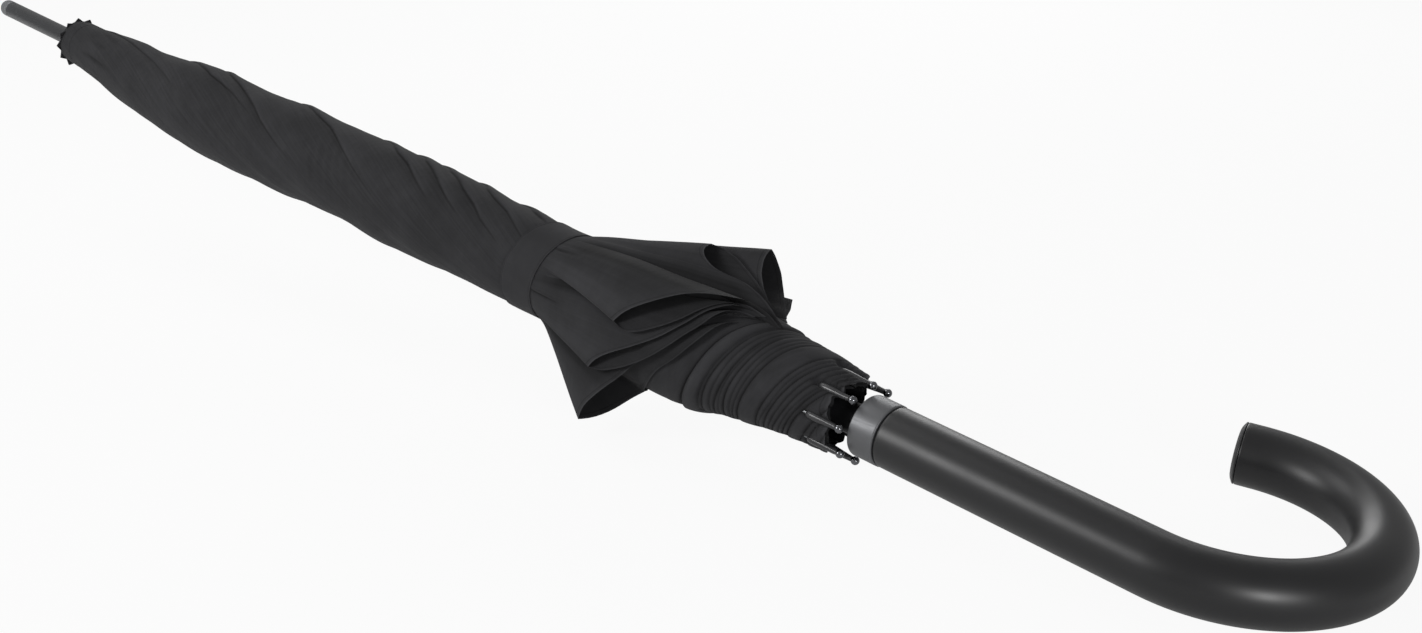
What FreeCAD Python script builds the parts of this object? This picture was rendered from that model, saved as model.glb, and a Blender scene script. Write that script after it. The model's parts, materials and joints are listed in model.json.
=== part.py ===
"""Stick umbrella, closed: crook handle, steel shaft, eight folding ribs and a rolled canopy.

Everything is drawn with the shaft along X: the mouth of the handle collar is at X = 0, the crook lies
towards +X and curls to +Y, and the ferrule points to -X.  A point of the canopy or the frame is given by
its distance from the collar mouth towards the ferrule, its radius from the shaft and its azimuth, which
runs from +Y towards +Z.  At the end the umbrella is laid on its side, on the crook and the flared hem.
"""
import FreeCAD, Part

import math
import os

V = FreeCAD.Vector
AXIS = V(1, 0, 0)

# ---- driving dimensions, millimetres and degrees ----
# shaft and ferrule
SHAFT_DIA = 10.0
SHAFT_WALL = 0.5
FERRULE_DIA = 9.6
FERRULE_LENGTH = 70.5      # from the rosette to the cap
FERRULE_WALL = 1.0
FERRULE_TENON = 24.0       # length pushed into the shaft
SHAFT_PROUD = 2.5          # shaft showing beyond the rosette
CAP_LENGTH = 8.5
CAP_ROUND = 3.8
CAP_SPIGOT = 7.0

# ribs and stretchers
RIB_COUNT = 8
RIB_LENGTH = 584.0         # crown pivot to the centre of the tip ball
FIRST_RIB = 36.0           # azimuth of rib 1
PIVOT_OFFSET = 3.0         # from the shaft's surface to the pivot wires
TIP_RADIUS = 16.5          # tip balls from the shaft's axis, closed
TIP_STANDOFF = 2.0         # tip balls from the collar mouth, closed
RIB_WIDTH = 3.2
RIB_HEIGHT = 2.4
RIB_WALL = 0.4
RUNNER_STANDOFF = 35.9     # runner's pivots from the collar mouth, closed
STRETCHER_WIDTH = 2.4
STRETCHER_HEIGHT = 2.0
STRETCHER_WALL = 0.4
ELBOW_DROP = 3.0           # elbow pin below the rib's centre line
EAR_THICKNESS = 0.5
EAR_RADIUS = 1.7
PIN_DIA = 1.2
TANG_THICKNESS = 1.4
TANG_LENGTH = 7.0          # pivot to the start of the channel
EYE_RADIUS = 1.6
WIRE_DIA = 1.0
TIP_LENGTH = 17.0
TIP_DIA = 3.7
TIP_NECK_DIA = 2.3
BALL_DIA = 3.4
TIP_SIDES = 12             # the small tips are drawn many-sided

# crown and runner
HUB_DIA = 18.8
HUB_THICKNESS = 5.2
SLOT_WIDTH = 2.0
CROWN_HEIGHT = 13.0        # from the notched disc to the rosette
RUNNER_WALL = 1.6
SKIRT_LENGTH = 68.0        # notched disc to the end of the skirt in the handle

# opening spring
SPRING_WIRE = 0.8
SPRING_TURNS = 16

# canopy
ROLL_RADIUS = 22.6
TOP_RADIUS = 12.7
CLOTH_THICKNESS = 2.2      # packed layers of cloth
PETAL_THICKNESS = 1.6
TIE_WIDTH = 3.0            # gathered cloth from the rib out to the roll
PETAL_DROP = 1.0           # from just below the strap to where the flare begins
HEM_END = 20.0
ROSETTE_DIA = 27.6
ROSETTE_THICKNESS = 1.0
ROSETTE_TEETH = 12
TOOTH_DEPTH = 2.4
STRAP_WIDTH = 20.0
STRAP_THICKNESS = 1.0
STRAP_PLACE = 188.0        # middle of the strap from the collar mouth
STRAP_SQUEEZE = 1.3        # how far the strap pulls the roll in
SNAP_DIA = 10.0
SNAP_HEIGHT = 2.0
SNAP_CHAMFER = 0.8

# handle, collar and release button
HANDLE_DIA = 26.1
HANDLE_STRAIGHT = 134.9    # collar mouth to the start of the bend
CROOK_RADIUS = 56.5
CROOK_SWEEP = 200.0
CROOK_TAIL = 2.0
END_CAP_LENGTH = 3.5
END_CAP_ROUND = 2.2
END_PEG_DIA = 12.0
END_PEG_LENGTH = 10.0
COLLAR_LENGTH = 12.5
COLLAR_DIA = 26.7
COLLAR_CHAMFER = 0.7
GROOVE_WIDTH = 0.8
GROOVE_DEPTH = 0.9
SHAFT_INSERT = 112.0       # how far the shaft reaches past the collar mouth
SOCKET_SPARE = 2.0         # room beyond the runner's skirt in the handle
BUTTON_DIA = 8.0
BUTTON_PLACE = 27.0        # from the collar mouth
BUTTON_PROUD = 1.5
BUTTON_THICKNESS = 2.8
BUTTON_CHAMFER = 0.8
BUTTON_FLOOR = 1.3         # wall between the skirt's socket and the button's pocket
BUTTON_TRAVEL = 2.2
STEM_DIA = 2.8
BUTTON_WIRE = 0.5

# clearances
SLIDE_GAP = 0.15           # runner on shaft, button in its pocket
PIN_GAP = 0.08             # wires and pins in their holes
SOFT_GAP = 0.3             # cloth beside its neighbours
SECTOR_GAP = 1.4           # degrees between two gores

# ---- worked out from the dimensions ----
SHAFT_RADIUS = SHAFT_DIA / 2
PIVOT_RADIUS = SHAFT_RADIUS + PIVOT_OFFSET
SPLAY = math.degrees(math.asin((TIP_RADIUS - PIVOT_RADIUS) / RIB_LENGTH))
SIN_SPLAY = math.sin(math.radians(SPLAY))
COS_SPLAY = math.cos(math.radians(SPLAY))
CROWN_PLACE = TIP_STANDOFF + RIB_LENGTH * COS_SPLAY
RUNNER_PLACE = RUNNER_STANDOFF
ELBOW_PLACE = (CROWN_PLACE + RUNNER_PLACE) / 2
# crown pivot to elbow and elbow to runner pivot are one length, with the elbow below the rib's line
HALF_RUN = CROWN_PLACE - ELBOW_PLACE
DROP_ALONG = ELBOW_DROP * SIN_SPLAY
STRETCHER_REACH = (math.sqrt(DROP_ALONG ** 2 + COS_SPLAY ** 2 * (HALF_RUN ** 2 + ELBOW_DROP ** 2))
                   - DROP_ALONG) / COS_SPLAY ** 2
ELBOW_RADIUS = PIVOT_RADIUS + STRETCHER_REACH * SIN_SPLAY - ELBOW_DROP
ELBOW_ANGLE = math.degrees(math.asin((ELBOW_RADIUS - PIVOT_RADIUS) / STRETCHER_REACH))
RUNNER_BORE = SHAFT_RADIUS + SLIDE_GAP
SKIRT_RADIUS = RUNNER_BORE + RUNNER_WALL
SOCKET_RADIUS = SKIRT_RADIUS + 2 * SLIDE_GAP
SKIRT_END = SKIRT_LENGTH - RUNNER_PLACE
HUB_RADIUS = HUB_DIA / 2
WIRE_RADIUS = WIRE_DIA / 2
SLOT_FLOOR = PIVOT_RADIUS - EYE_RADIUS - 2 * SLIDE_GAP
HANDLE_RADIUS = HANDLE_DIA / 2
HANDLE_START = COLLAR_LENGTH
ROSETTE_PLACE = CROWN_PLACE + HUB_THICKNESS / 2 + CROWN_HEIGHT
FERRULE_RADIUS = FERRULE_DIA / 2
ROSETTE_FACE = ROSETTE_PLACE + ROSETTE_THICKNESS / 2
SHAFT_TOP = ROSETTE_FACE + SHAFT_PROUD
TENON_RADIUS = SHAFT_RADIUS - SHAFT_WALL - PIN_GAP / 2
SECTOR = 360.0 / RIB_COUNT - SECTOR_GAP
GORE_TOP = CROWN_PLACE - HUB_THICKNESS / 2 - 2 * SOFT_GAP
SOFT_SEAT = RIB_HEIGHT / 2 + SOFT_GAP
STRAP_HIGH = STRAP_PLACE + STRAP_WIDTH * 0.6
STRAP_LOW = STRAP_PLACE - STRAP_WIDTH * 0.6
PETAL_ROOT = STRAP_LOW - PETAL_DROP
APEX = HANDLE_STRAIGHT + CROOK_RADIUS
BUTTON_LEDGE = SOCKET_RADIUS + BUTTON_FLOOR
BUTTON_UNDER = HANDLE_RADIUS + BUTTON_PROUD - BUTTON_THICKNESS
STEM_END = SKIRT_RADIUS + SOFT_GAP + BUTTON_TRAVEL
STRAP_RADIUS = ROLL_RADIUS - STRAP_SQUEEZE + SOFT_GAP
RIB_AZIMUTHS = [FIRST_RIB + i * 360.0 / RIB_COUNT for i in range(RIB_COUNT)]

# hem flare of each gore, from rib 1 round: length of the flare along the shaft, radius at its tip
PETALS = [(98.0, 40.0), (90.0, 49.0), (68.0, 40.0), (53.0, 34.0),
          (44.0, 40.0), (37.0, 54.0), (28.0, 57.0), (57.0, 50.0)]
REST_RADIUS = 53.0         # depth below the shaft's axis where the flared hem rests on the floor
REST_PLACE = PETAL_ROOT - 34.0


def turned(shape, azimuth):
    """The shape turned about the shaft from azimuth 0."""
    copy = shape.copy()
    copy.rotate(V(0, 0, 0), AXIS, azimuth)
    return copy


def ring_of(points, angle=360.0):
    """Solid of revolution about the shaft from an outline of (distance, radius) points."""
    corners = [V(-place, radius, 0) for place, radius in points]
    face = Part.Face(Part.makePolygon(corners + corners[:1]))
    return face.revolve(V(0, 0, 0), AXIS, angle)


def tube(outer, inner, start, end):
    """Tube about the shaft between two places on the X axis."""
    body = Part.makeCylinder(outer, end - start, V(start, 0, 0), AXIS)
    return body.cut(Part.makeCylinder(inner, end - start, V(start, 0, 0), AXIS))


def many_sided(points, sides):
    """Many-sided bar along an arm, through (along, radius) points; the radius is that of its corners."""
    wires = []
    for along, radius in points:
        corners = []
        for i in range(sides + 1):
            angle = 2 * math.pi * i / sides
            corners.append(V(along, radius * math.cos(angle), radius * math.sin(angle)))
        wires.append(Part.makePolygon(corners))
    return Part.makeLoft(wires, True, True)


def plate(outline, thickness):
    """Flat plate from (along, out) points, centred on the arm's middle plane."""
    corners = [V(along, out, -thickness / 2) for along, out in outline]
    face = Part.Face(Part.makePolygon(corners + corners[:1]))
    return face.extrude(V(0, 0, thickness))


def cross_pin(radius, along, out, width):
    """Cylinder across an arm, through its middle plane."""
    return Part.makeCylinder(radius, width, V(along, out, -width / 2), V(0, 0, 1))


def channel(start, end, width, height, wall, opens):
    """U-shaped strip along an arm; opens is -1 where the open side faces the shaft, else 1."""
    body = Part.makeBox(end - start, height, width, V(start, -height / 2, -width / 2))
    inside = Part.makeBox(end - start, height, width - 2 * wall,
                          V(start, -height / 2 + opens * wall, wall - width / 2))
    return body.cut(inside)


def eye_tang(length, height):
    """Flat tang with a round eye at the pivot, ending inside the channel."""
    bar = plate([(0, -height / 2), (length, -height / 2), (length, height / 2), (0, height / 2)],
                TANG_THICKNESS)
    eye = cross_pin(EYE_RADIUS, 0, 0, TANG_THICKNESS)
    hole = cross_pin(WIRE_RADIUS + 2 * PIN_GAP, 0, 0, 2 * TANG_THICKNESS)
    return bar.fuse(eye).cut(hole)


def on_arm(shape, place, radius, angle, azimuth):
    """An arm's piece, drawn along X from its pivot, set at that pivot and turned to its azimuth."""
    copy = shape.copy()
    copy.rotate(V(0, 0, 0), V(0, 0, 1), angle)
    copy.translate(V(-place, radius, 0))
    return turned(copy, azimuth)


# ---- frame ----
def make_rib():
    """Fluted steel rib with its crown tang, end rod and elbow clip, and the clip's rivet."""
    strip_end = RIB_LENGTH - TIP_LENGTH - 2 * RIB_HEIGHT
    strip = channel(TANG_LENGTH, strip_end, RIB_WIDTH, RIB_HEIGHT, RIB_WALL, -1)
    tang = eye_tang(2 * TANG_LENGTH, RIB_HEIGHT - RIB_WALL / 2)
    rod_start = strip_end - 3 * RIB_HEIGHT
    rod_end = RIB_LENGTH - TIP_LENGTH / 3
    rod = many_sided([(rod_start, TIP_NECK_DIA / 4), (rod_end, TIP_NECK_DIA / 4)], TIP_SIDES // 2)
    rod_root = Part.makeBox(strip_end - rod_start, RIB_HEIGHT / 2, TIP_NECK_DIA / 2,
                            V(rod_start, 0, -TIP_NECK_DIA / 4))
    angle = math.radians(SPLAY - ELBOW_ANGLE)
    along = STRETCHER_REACH * math.cos(angle)
    out = -STRETCHER_REACH * math.sin(angle)
    ears = []
    for side in (-1, 1):
        z = side * (RIB_WIDTH / 2 + EAR_THICKNESS / 2) - EAR_THICKNESS / 2
        cheek = Part.makeBox(4 * EAR_RADIUS, RIB_HEIGHT / 2 - out, EAR_THICKNESS,
                             V(along - 2 * EAR_RADIUS, out, z))
        lobe = Part.makeCylinder(2 * EAR_RADIUS, EAR_THICKNESS, V(along, out + EAR_RADIUS, z), V(0, 0, 1))
        foot = Part.makeBox(4 * EAR_RADIUS, 4 * EAR_RADIUS, EAR_THICKNESS,
                            V(along - 2 * EAR_RADIUS, out - EAR_RADIUS, z))
        hole = cross_pin(PIN_DIA / 2 + PIN_GAP, along, out, RIB_WIDTH * 2)
        ears.append(cheek.fuse(lobe.common(foot)).cut(hole))
    rib = strip.fuse([tang, rod, rod_root] + ears).removeSplitter()
    rivet = cross_pin(PIN_DIA / 2, along, out, RIB_WIDTH + 3 * EAR_THICKNESS)
    return rib, rivet


def make_tip():
    """Tapered cup that closes the rib, with a ball at its end."""
    start = RIB_LENGTH - TIP_LENGTH
    ball = BALL_DIA / 2
    outline = [(start, TIP_DIA / 2)]
    for degrees in (140, 110, 80, 50, 20):
        angle = math.radians(degrees)
        outline.append((RIB_LENGTH + ball * math.cos(angle), ball * math.sin(angle)))
    neck = RIB_LENGTH - math.sqrt(ball ** 2 - (TIP_NECK_DIA / 2) ** 2)
    outline.insert(1, (neck, TIP_NECK_DIA / 2))
    cup = many_sided(outline, TIP_SIDES)
    bore_radius = TIP_NECK_DIA / 4 + 2 * PIN_GAP
    bore_end = RIB_LENGTH - TIP_LENGTH / 3 + PIN_GAP
    return cup.cut(many_sided([(start, bore_radius), (bore_end, bore_radius)], TIP_SIDES // 2))


def make_stretcher():
    """Stretcher from the elbow at 0 to its eye at the runner, opening away from the shaft."""
    eye_at = STRETCHER_REACH
    strip = channel(0, eye_at - TANG_LENGTH, STRETCHER_WIDTH, STRETCHER_HEIGHT, STRETCHER_WALL, 1)
    hole = cross_pin(PIN_DIA / 2 + PIN_GAP, 0, 0, 2 * RIB_WIDTH)
    cheeks = []
    for side in (-1, 1):
        z = side * (STRETCHER_WIDTH / 2 - STRETCHER_WALL / 2) - STRETCHER_WALL / 2
        cheeks.append(Part.makeCylinder(STRETCHER_HEIGHT / 2, STRETCHER_WALL, V(0, 0, z), V(0, 0, 1)))
    tang = eye_tang(2 * TANG_LENGTH, STRETCHER_HEIGHT - STRETCHER_WALL / 2)
    tang.rotate(V(0, 0, 0), V(0, 0, 1), 180)
    tang.translate(V(eye_at, 0, 0))
    return strip.fuse([tang] + cheeks).cut(hole).removeSplitter()


def notched_hub(outline, place):
    """Turned hub with a wire groove round it and one notch for each arm."""
    hub = ring_of(outline)
    groove = tube(HUB_RADIUS + WIRE_DIA, PIVOT_RADIUS - WIRE_RADIUS - PIN_GAP,
                  -place - WIRE_RADIUS - PIN_GAP, -place + WIRE_RADIUS + PIN_GAP)
    hub = hub.cut(groove)
    length = HUB_THICKNESS + 4 * EYE_RADIUS
    notch = Part.makeBox(length, HUB_RADIUS, SLOT_WIDTH,
                         V(-place - length / 2, SLOT_FLOOR, -SLOT_WIDTH / 2))
    for azimuth in RIB_AZIMUTHS:
        hub = hub.cut(turned(notch, azimuth))
    return hub


def make_crown():
    """Top notch, pinned to the shaft: the ribs hinge in its notches and the canopy sits on its cone."""
    low = CROWN_PLACE - HUB_THICKNESS / 2
    high = CROWN_PLACE + HUB_THICKNESS / 2
    bore = SHAFT_RADIUS + PIN_GAP / 2
    top = ROSETTE_PLACE - ROSETTE_THICKNESS / 2 - PIN_GAP
    neck = bore + RUNNER_WALL
    outline = [(low - HUB_THICKNESS / 2, bore), (low - HUB_THICKNESS / 2, SLOT_FLOOR),
               (low, SLOT_FLOOR), (low, HUB_RADIUS), (high, HUB_RADIUS),
               (high + EYE_RADIUS, HUB_RADIUS), (top, neck), (top, bore)]
    return notched_hub(outline, CROWN_PLACE)


def make_runner():
    """Runner: notched disc for the stretchers, and a skirt that slides into the handle."""
    low = RUNNER_PLACE - HUB_THICKNESS / 2
    high = RUNNER_PLACE + HUB_THICKNESS / 2
    outline = [(high, RUNNER_BORE), (high, HUB_RADIUS), (low, HUB_RADIUS),
               (low - EYE_RADIUS, SKIRT_RADIUS), (-SKIRT_END, SKIRT_RADIUS), (-SKIRT_END, RUNNER_BORE)]
    return notched_hub(outline, RUNNER_PLACE)


def pivot_wire(place):
    """Ring of drawn eight-sided wire that holds the arms' eyes in a hub."""
    sides = 8
    outline = []
    for i in range(sides):
        angle = 2 * math.pi * (i + 0.5) / sides
        outline.append((place + WIRE_RADIUS * math.cos(angle),
                        PIVOT_RADIUS + WIRE_RADIUS * math.sin(angle)))
    return ring_of(outline)


def make_opening_spring():
    """Long coil round the shaft from the runner to the crown, stretched when the umbrella is closed."""
    start = -CROWN_PLACE + HUB_THICKNESS + SPRING_WIRE / 2 + PIN_GAP
    end = -RUNNER_PLACE - HUB_THICKNESS / 2 - SPRING_WIRE / 2 - PIN_GAP
    radius = SHAFT_RADIUS + SLIDE_GAP + SPRING_WIRE / 2
    return coil(radius, end - start, SPRING_TURNS, SPRING_WIRE, V(start, 0, 0), V(0, 1, 0), 90)


def coil(radius, length, turns, wire, foot, turn_axis, turn):
    """Square-wire coil along +Z from its foot, then turned about the foot."""
    path = Part.makeHelix(length / turns, length, radius)
    half = wire / 2
    corners = [V(radius - half, 0, -half), V(radius + half, 0, -half),
               V(radius + half, 0, half), V(radius - half, 0, half)]
    section = Part.makePolygon(corners + corners[:1])
    body = Part.Wire(path.Edges).makePipeShell([section], True, True)
    body.rotate(V(0, 0, 0), turn_axis, turn)
    body.translate(foot)
    return body


# ---- shaft and ferrule ----
def make_shaft():
    """Steel tube from inside the handle to just beyond the rosette."""
    return tube(SHAFT_RADIUS, SHAFT_RADIUS - SHAFT_WALL, -SHAFT_TOP, SHAFT_INSERT)


def make_ferrule():
    """Ferrule tube with a turned-down tenon inside the shaft."""
    end = ROSETTE_FACE + FERRULE_LENGTH
    bore = TENON_RADIUS - FERRULE_WALL
    outline = [(SHAFT_TOP - FERRULE_TENON, bore), (SHAFT_TOP - FERRULE_TENON, TENON_RADIUS),
               (SHAFT_TOP, TENON_RADIUS), (SHAFT_TOP, FERRULE_RADIUS), (end, FERRULE_RADIUS), (end, bore)]
    return ring_of(outline)


def make_ferrule_cap():
    """Domed cap with a spigot pushed into the ferrule's end."""
    start = ROSETTE_FACE + FERRULE_LENGTH
    spigot = TENON_RADIUS - FERRULE_WALL - PIN_GAP / 2
    body = Part.makeCylinder(FERRULE_RADIUS, CAP_LENGTH, V(-start - CAP_LENGTH, 0, 0), AXIS)
    rim = [edge for edge in body.Edges if edge.BoundBox.XMax < -start - CAP_LENGTH + PIN_GAP]
    body = body.makeFillet(CAP_ROUND, rim)
    peg = Part.makeCylinder(spigot, CAP_SPIGOT, V(-start, 0, 0), AXIS)
    return body.fuse(peg).removeSplitter()


# ---- canopy ----
def roll_outline():
    """Outside of the rolled cloth above the strap, from the crown down, as (distance, radius)."""
    shoulder = GORE_TOP - 0.2 * RIB_LENGTH
    return [(GORE_TOP, TOP_RADIUS), (GORE_TOP - 0.06 * RIB_LENGTH, TOP_RADIUS + 3.8),
            (shoulder + 0.07 * RIB_LENGTH, ROLL_RADIUS - 2.4), (shoulder, ROLL_RADIUS),
            (0.5 * RIB_LENGTH, ROLL_RADIUS + 0.6), (STRAP_HIGH, ROLL_RADIUS - STRAP_SQUEEZE)]


def bundle_outline():
    """Outside of the folded hem inside the flare, from the strap down."""
    depth = PETAL_ROOT - HEM_END
    return [(PETAL_ROOT - 0.09 * depth, ROLL_RADIUS), (HEM_END + 0.56 * depth, ROLL_RADIUS + 4.6),
            (HEM_END + 0.36 * depth, ROLL_RADIUS + 2.2), (HEM_END + 0.17 * depth, ROLL_RADIUS - 2.2)]


def rib_line(place):
    """Radius of a rib's centre line at a distance from the collar mouth."""
    return PIVOT_RADIUS + (CROWN_PLACE - place) * math.tan(math.radians(SPLAY))


def make_gore(petal, azimuth):
    """One panel of the canopy, furled: the roll, its flared hem and the folds gathered to the rib."""
    flare, tip_radius = petal
    tip = PETAL_ROOT - flare
    outside = roll_outline()
    root = (PETAL_ROOT, ROLL_RADIUS - STRAP_SQUEEZE + 0.6)
    strap_low = (STRAP_LOW, ROLL_RADIUS - STRAP_SQUEEZE)
    slope = math.atan2(tip_radius - root[1], root[0] - tip)
    lip = (tip - PETAL_THICKNESS * math.sin(slope), tip_radius - PETAL_THICKNESS * math.cos(slope))
    bundle = bundle_outline()
    hem_seat = rib_line(HEM_END) + SOFT_SEAT
    hem = [(HEM_END, hem_seat + 1.4), (HEM_END, hem_seat)]
    inside = []
    for place, radius in reversed(outside + bundle):
        seat = rib_line(place) + SOFT_SEAT
        inside.append((place, max(radius - CLOTH_THICKNESS, seat)))
    panel = ring_of(outside + [strap_low, root, (tip, tip_radius), lip] + bundle + hem + inside, SECTOR)
    panel.rotate(V(0, 0, 0), AXIS, azimuth - SECTOR / 2)

    # gathered cloth between the rib and the roll
    low = bundle[0][0]
    wall = CLOTH_THICKNESS / 2
    ridge = [(place, radius - wall) for place, radius in outside] + [(low, bundle[0][1] - wall)]
    seat = [(low, rib_line(low) + SOFT_SEAT), (GORE_TOP, rib_line(GORE_TOP) + SOFT_SEAT)]
    tie = plate([(-place, radius) for place, radius in ridge + seat], TIE_WIDTH)
    return panel.fuse(turned(tie, azimuth)).removeSplitter()


def make_canopy_top():
    """Short sleeve of cloth over the crown that joins the gores under the rosette."""
    low = CROWN_PLACE + HUB_THICKNESS / 2 + EYE_RADIUS + 2 * SOFT_GAP
    high = ROSETTE_PLACE - ROSETTE_THICKNESS / 2 - SOFT_GAP
    seat = HUB_RADIUS + SOFT_GAP
    neck = SHAFT_RADIUS + RUNNER_WALL + 2 * SOFT_GAP
    outline = [(low, seat), (low, TOP_RADIUS), (high, TOP_RADIUS - 0.4), (high, neck)]
    return ring_of(outline)


def make_rosette():
    """Pinked cloth washer between canopy and ferrule."""
    outer = ROSETTE_DIA / 2
    points = []
    for i in range(2 * ROSETTE_TEETH):
        angle = math.pi * i / ROSETTE_TEETH
        radius = outer - (TOOTH_DEPTH if i % 2 else 0)
        points.append(V(-ROSETTE_FACE, radius * math.cos(angle), radius * math.sin(angle)))
    disc = Part.Face(Part.makePolygon(points + points[:1])).extrude(V(ROSETTE_THICKNESS, 0, 0))
    hole = Part.makeCylinder(SHAFT_RADIUS + PIN_GAP, 4 * ROSETTE_THICKNESS,
                             V(-ROSETTE_FACE - ROSETTE_THICKNESS, 0, 0), AXIS)
    return disc.cut(hole)


def make_strap():
    """Closure strap round the roll."""
    start = -STRAP_PLACE - STRAP_WIDTH / 2
    return tube(STRAP_RADIUS + STRAP_THICKNESS, STRAP_RADIUS, start, start + STRAP_WIDTH)


def make_snap(azimuth):
    """Snap fastener's cap on the strap, with a bevelled rim."""
    foot = STRAP_RADIUS + STRAP_THICKNESS
    sunk = STRAP_THICKNESS
    cap = Part.makeCylinder(SNAP_DIA / 2, SNAP_HEIGHT + sunk, V(-STRAP_PLACE, foot - sunk, 0), V(0, 1, 0))
    rim = [edge for edge in cap.Edges if edge.BoundBox.YMin > foot + SNAP_HEIGHT - PIN_GAP]
    cap = cap.makeChamfer(SNAP_CHAMFER, rim)
    band = Part.makeCylinder(foot + PIN_GAP / 2, 2 * SNAP_DIA, V(-STRAP_PLACE - SNAP_DIA, 0, 0), AXIS)
    return turned(cap.cut(band), azimuth)


# ---- handle ----
def crook_path(start, tail):
    """Centre line of the handle: straight, then the bend, then a short straight tail."""
    middle = V(HANDLE_STRAIGHT, CROOK_RADIUS, 0)

    def on_bend(degrees):
        angle = math.radians(degrees)
        return middle + V(CROOK_RADIUS * math.sin(angle), -CROOK_RADIUS * math.cos(angle), 0)

    end = on_bend(CROOK_SWEEP)
    sweep = math.radians(CROOK_SWEEP)
    heading = V(math.cos(sweep), math.sin(sweep), 0)
    edges = [Part.LineSegment(V(start, 0, 0), V(HANDLE_STRAIGHT, 0, 0)).toShape(),
             Part.Arc(on_bend(0), on_bend(CROOK_SWEEP / 2), end).toShape(),
             Part.LineSegment(end, end + heading * tail).toShape()]
    return Part.Wire(edges), end, heading


def make_handle():
    """Crook handle with the shaft's bore, the skirt's socket, the button's pocket and the end's hole."""
    path, end, heading = crook_path(HANDLE_START + GROOVE_WIDTH, CROOK_TAIL)
    ring = Part.makeCircle(HANDLE_RADIUS, V(HANDLE_START + GROOVE_WIDTH, 0, 0), AXIS)
    body = path.makePipeShell([Part.Wire(ring)], True, False)
    seat = Part.makeCylinder(HANDLE_RADIUS - GROOVE_DEPTH, 2 * GROOVE_WIDTH, V(HANDLE_START, 0, 0), AXIS)
    body = body.fuse(seat)
    bore = Part.makeCylinder(SHAFT_RADIUS + PIN_GAP / 2, SHAFT_INSERT, V(0, 0, 0), AXIS)
    socket = Part.makeCylinder(SOCKET_RADIUS, SKIRT_END + SOCKET_SPARE, V(0, 0, 0), AXIS)
    pocket = Part.makeCylinder(BUTTON_DIA / 2 + SLIDE_GAP, HANDLE_RADIUS, V(BUTTON_PLACE, BUTTON_LEDGE, 0),
                               V(0, 1, 0))
    stem_hole = Part.makeCylinder(STEM_DIA / 2 + SLIDE_GAP, HANDLE_RADIUS, V(BUTTON_PLACE, 0, 0),
                                  V(0, 1, 0))
    face = end + heading * CROOK_TAIL
    peg_hole = Part.makeCylinder(END_PEG_DIA / 2, END_PEG_LENGTH + SOFT_GAP, face, heading * -1)
    return body.cut([bore, socket, pocket, stem_hole, peg_hole])


def make_end_cap():
    """Plug that closes the crook's end, with a rounded rim and a peg."""
    _, end, heading = crook_path(HANDLE_START + GROOVE_WIDTH, CROOK_TAIL)
    face = end + heading * CROOK_TAIL
    disc = Part.makeCylinder(HANDLE_RADIUS, END_CAP_LENGTH, face, heading)
    outer = face + heading * END_CAP_LENGTH
    rim = [edge for edge in disc.Edges
           if (edge.CenterOfMass - outer).Length < PIN_GAP and edge.Length > HANDLE_DIA]
    disc = disc.makeFillet(END_CAP_ROUND, rim)
    peg = Part.makeCylinder(END_PEG_DIA / 2 - PIN_GAP / 2, END_PEG_LENGTH, face, heading * -1)
    return disc.fuse(peg).removeSplitter()


def make_collar():
    """Ring between runner and handle, bevelled at both ends."""
    outer = COLLAR_DIA / 2
    bevel = COLLAR_CHAMFER
    outline = [(0, SOCKET_RADIUS), (0, outer - bevel), (-bevel, outer), (bevel - COLLAR_LENGTH, outer),
               (-COLLAR_LENGTH, outer - bevel), (-COLLAR_LENGTH, SOCKET_RADIUS)]
    return ring_of(outline)


def make_button():
    """Release button: bevelled cap and a stem that reaches the runner's skirt when pressed."""
    cap = Part.makeCylinder(BUTTON_DIA / 2, BUTTON_THICKNESS, V(BUTTON_PLACE, BUTTON_UNDER, 0), V(0, 1, 0))
    top = [edge for edge in cap.Edges if edge.BoundBox.YMin > BUTTON_UNDER + BUTTON_THICKNESS - PIN_GAP]
    cap = cap.makeChamfer(BUTTON_CHAMFER, top)
    stem = Part.makeCylinder(STEM_DIA / 2, BUTTON_UNDER - STEM_END + PIN_GAP, V(BUTTON_PLACE, STEM_END, 0),
                             V(0, 1, 0))
    return cap.fuse(stem).removeSplitter()


def make_button_spring():
    """Small coil round the button's stem, from the pocket's floor to the cap."""
    radius = STEM_DIA / 2 + SLIDE_GAP + BUTTON_WIRE
    length = BUTTON_UNDER - BUTTON_LEDGE - BUTTON_WIRE - 2 * PIN_GAP
    foot = V(BUTTON_PLACE, BUTTON_LEDGE + BUTTON_WIRE / 2 + PIN_GAP, 0)
    return coil(radius, length, 2, BUTTON_WIRE, foot, AXIS, -90)


# ---- rest: laid on the crook's bend and the flared hem ----
REACH = APEX + REST_PLACE
LAY_TILT = math.degrees(math.atan2(REST_RADIUS, REACH)
                        - math.asin(HANDLE_RADIUS / math.hypot(REACH, REST_RADIUS)))
LAY_HEIGHT = APEX * math.sin(math.radians(LAY_TILT)) + HANDLE_RADIUS


def lay_down(shape):
    """The shape as the umbrella lies, ferrule end raised, with the floor at height 0."""
    copy = shape.copy()
    copy.rotate(V(0, 0, 0), V(0, 1, 0), LAY_TILT)
    copy.translate(V(0, 0, LAY_HEIGHT))
    return copy


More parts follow.
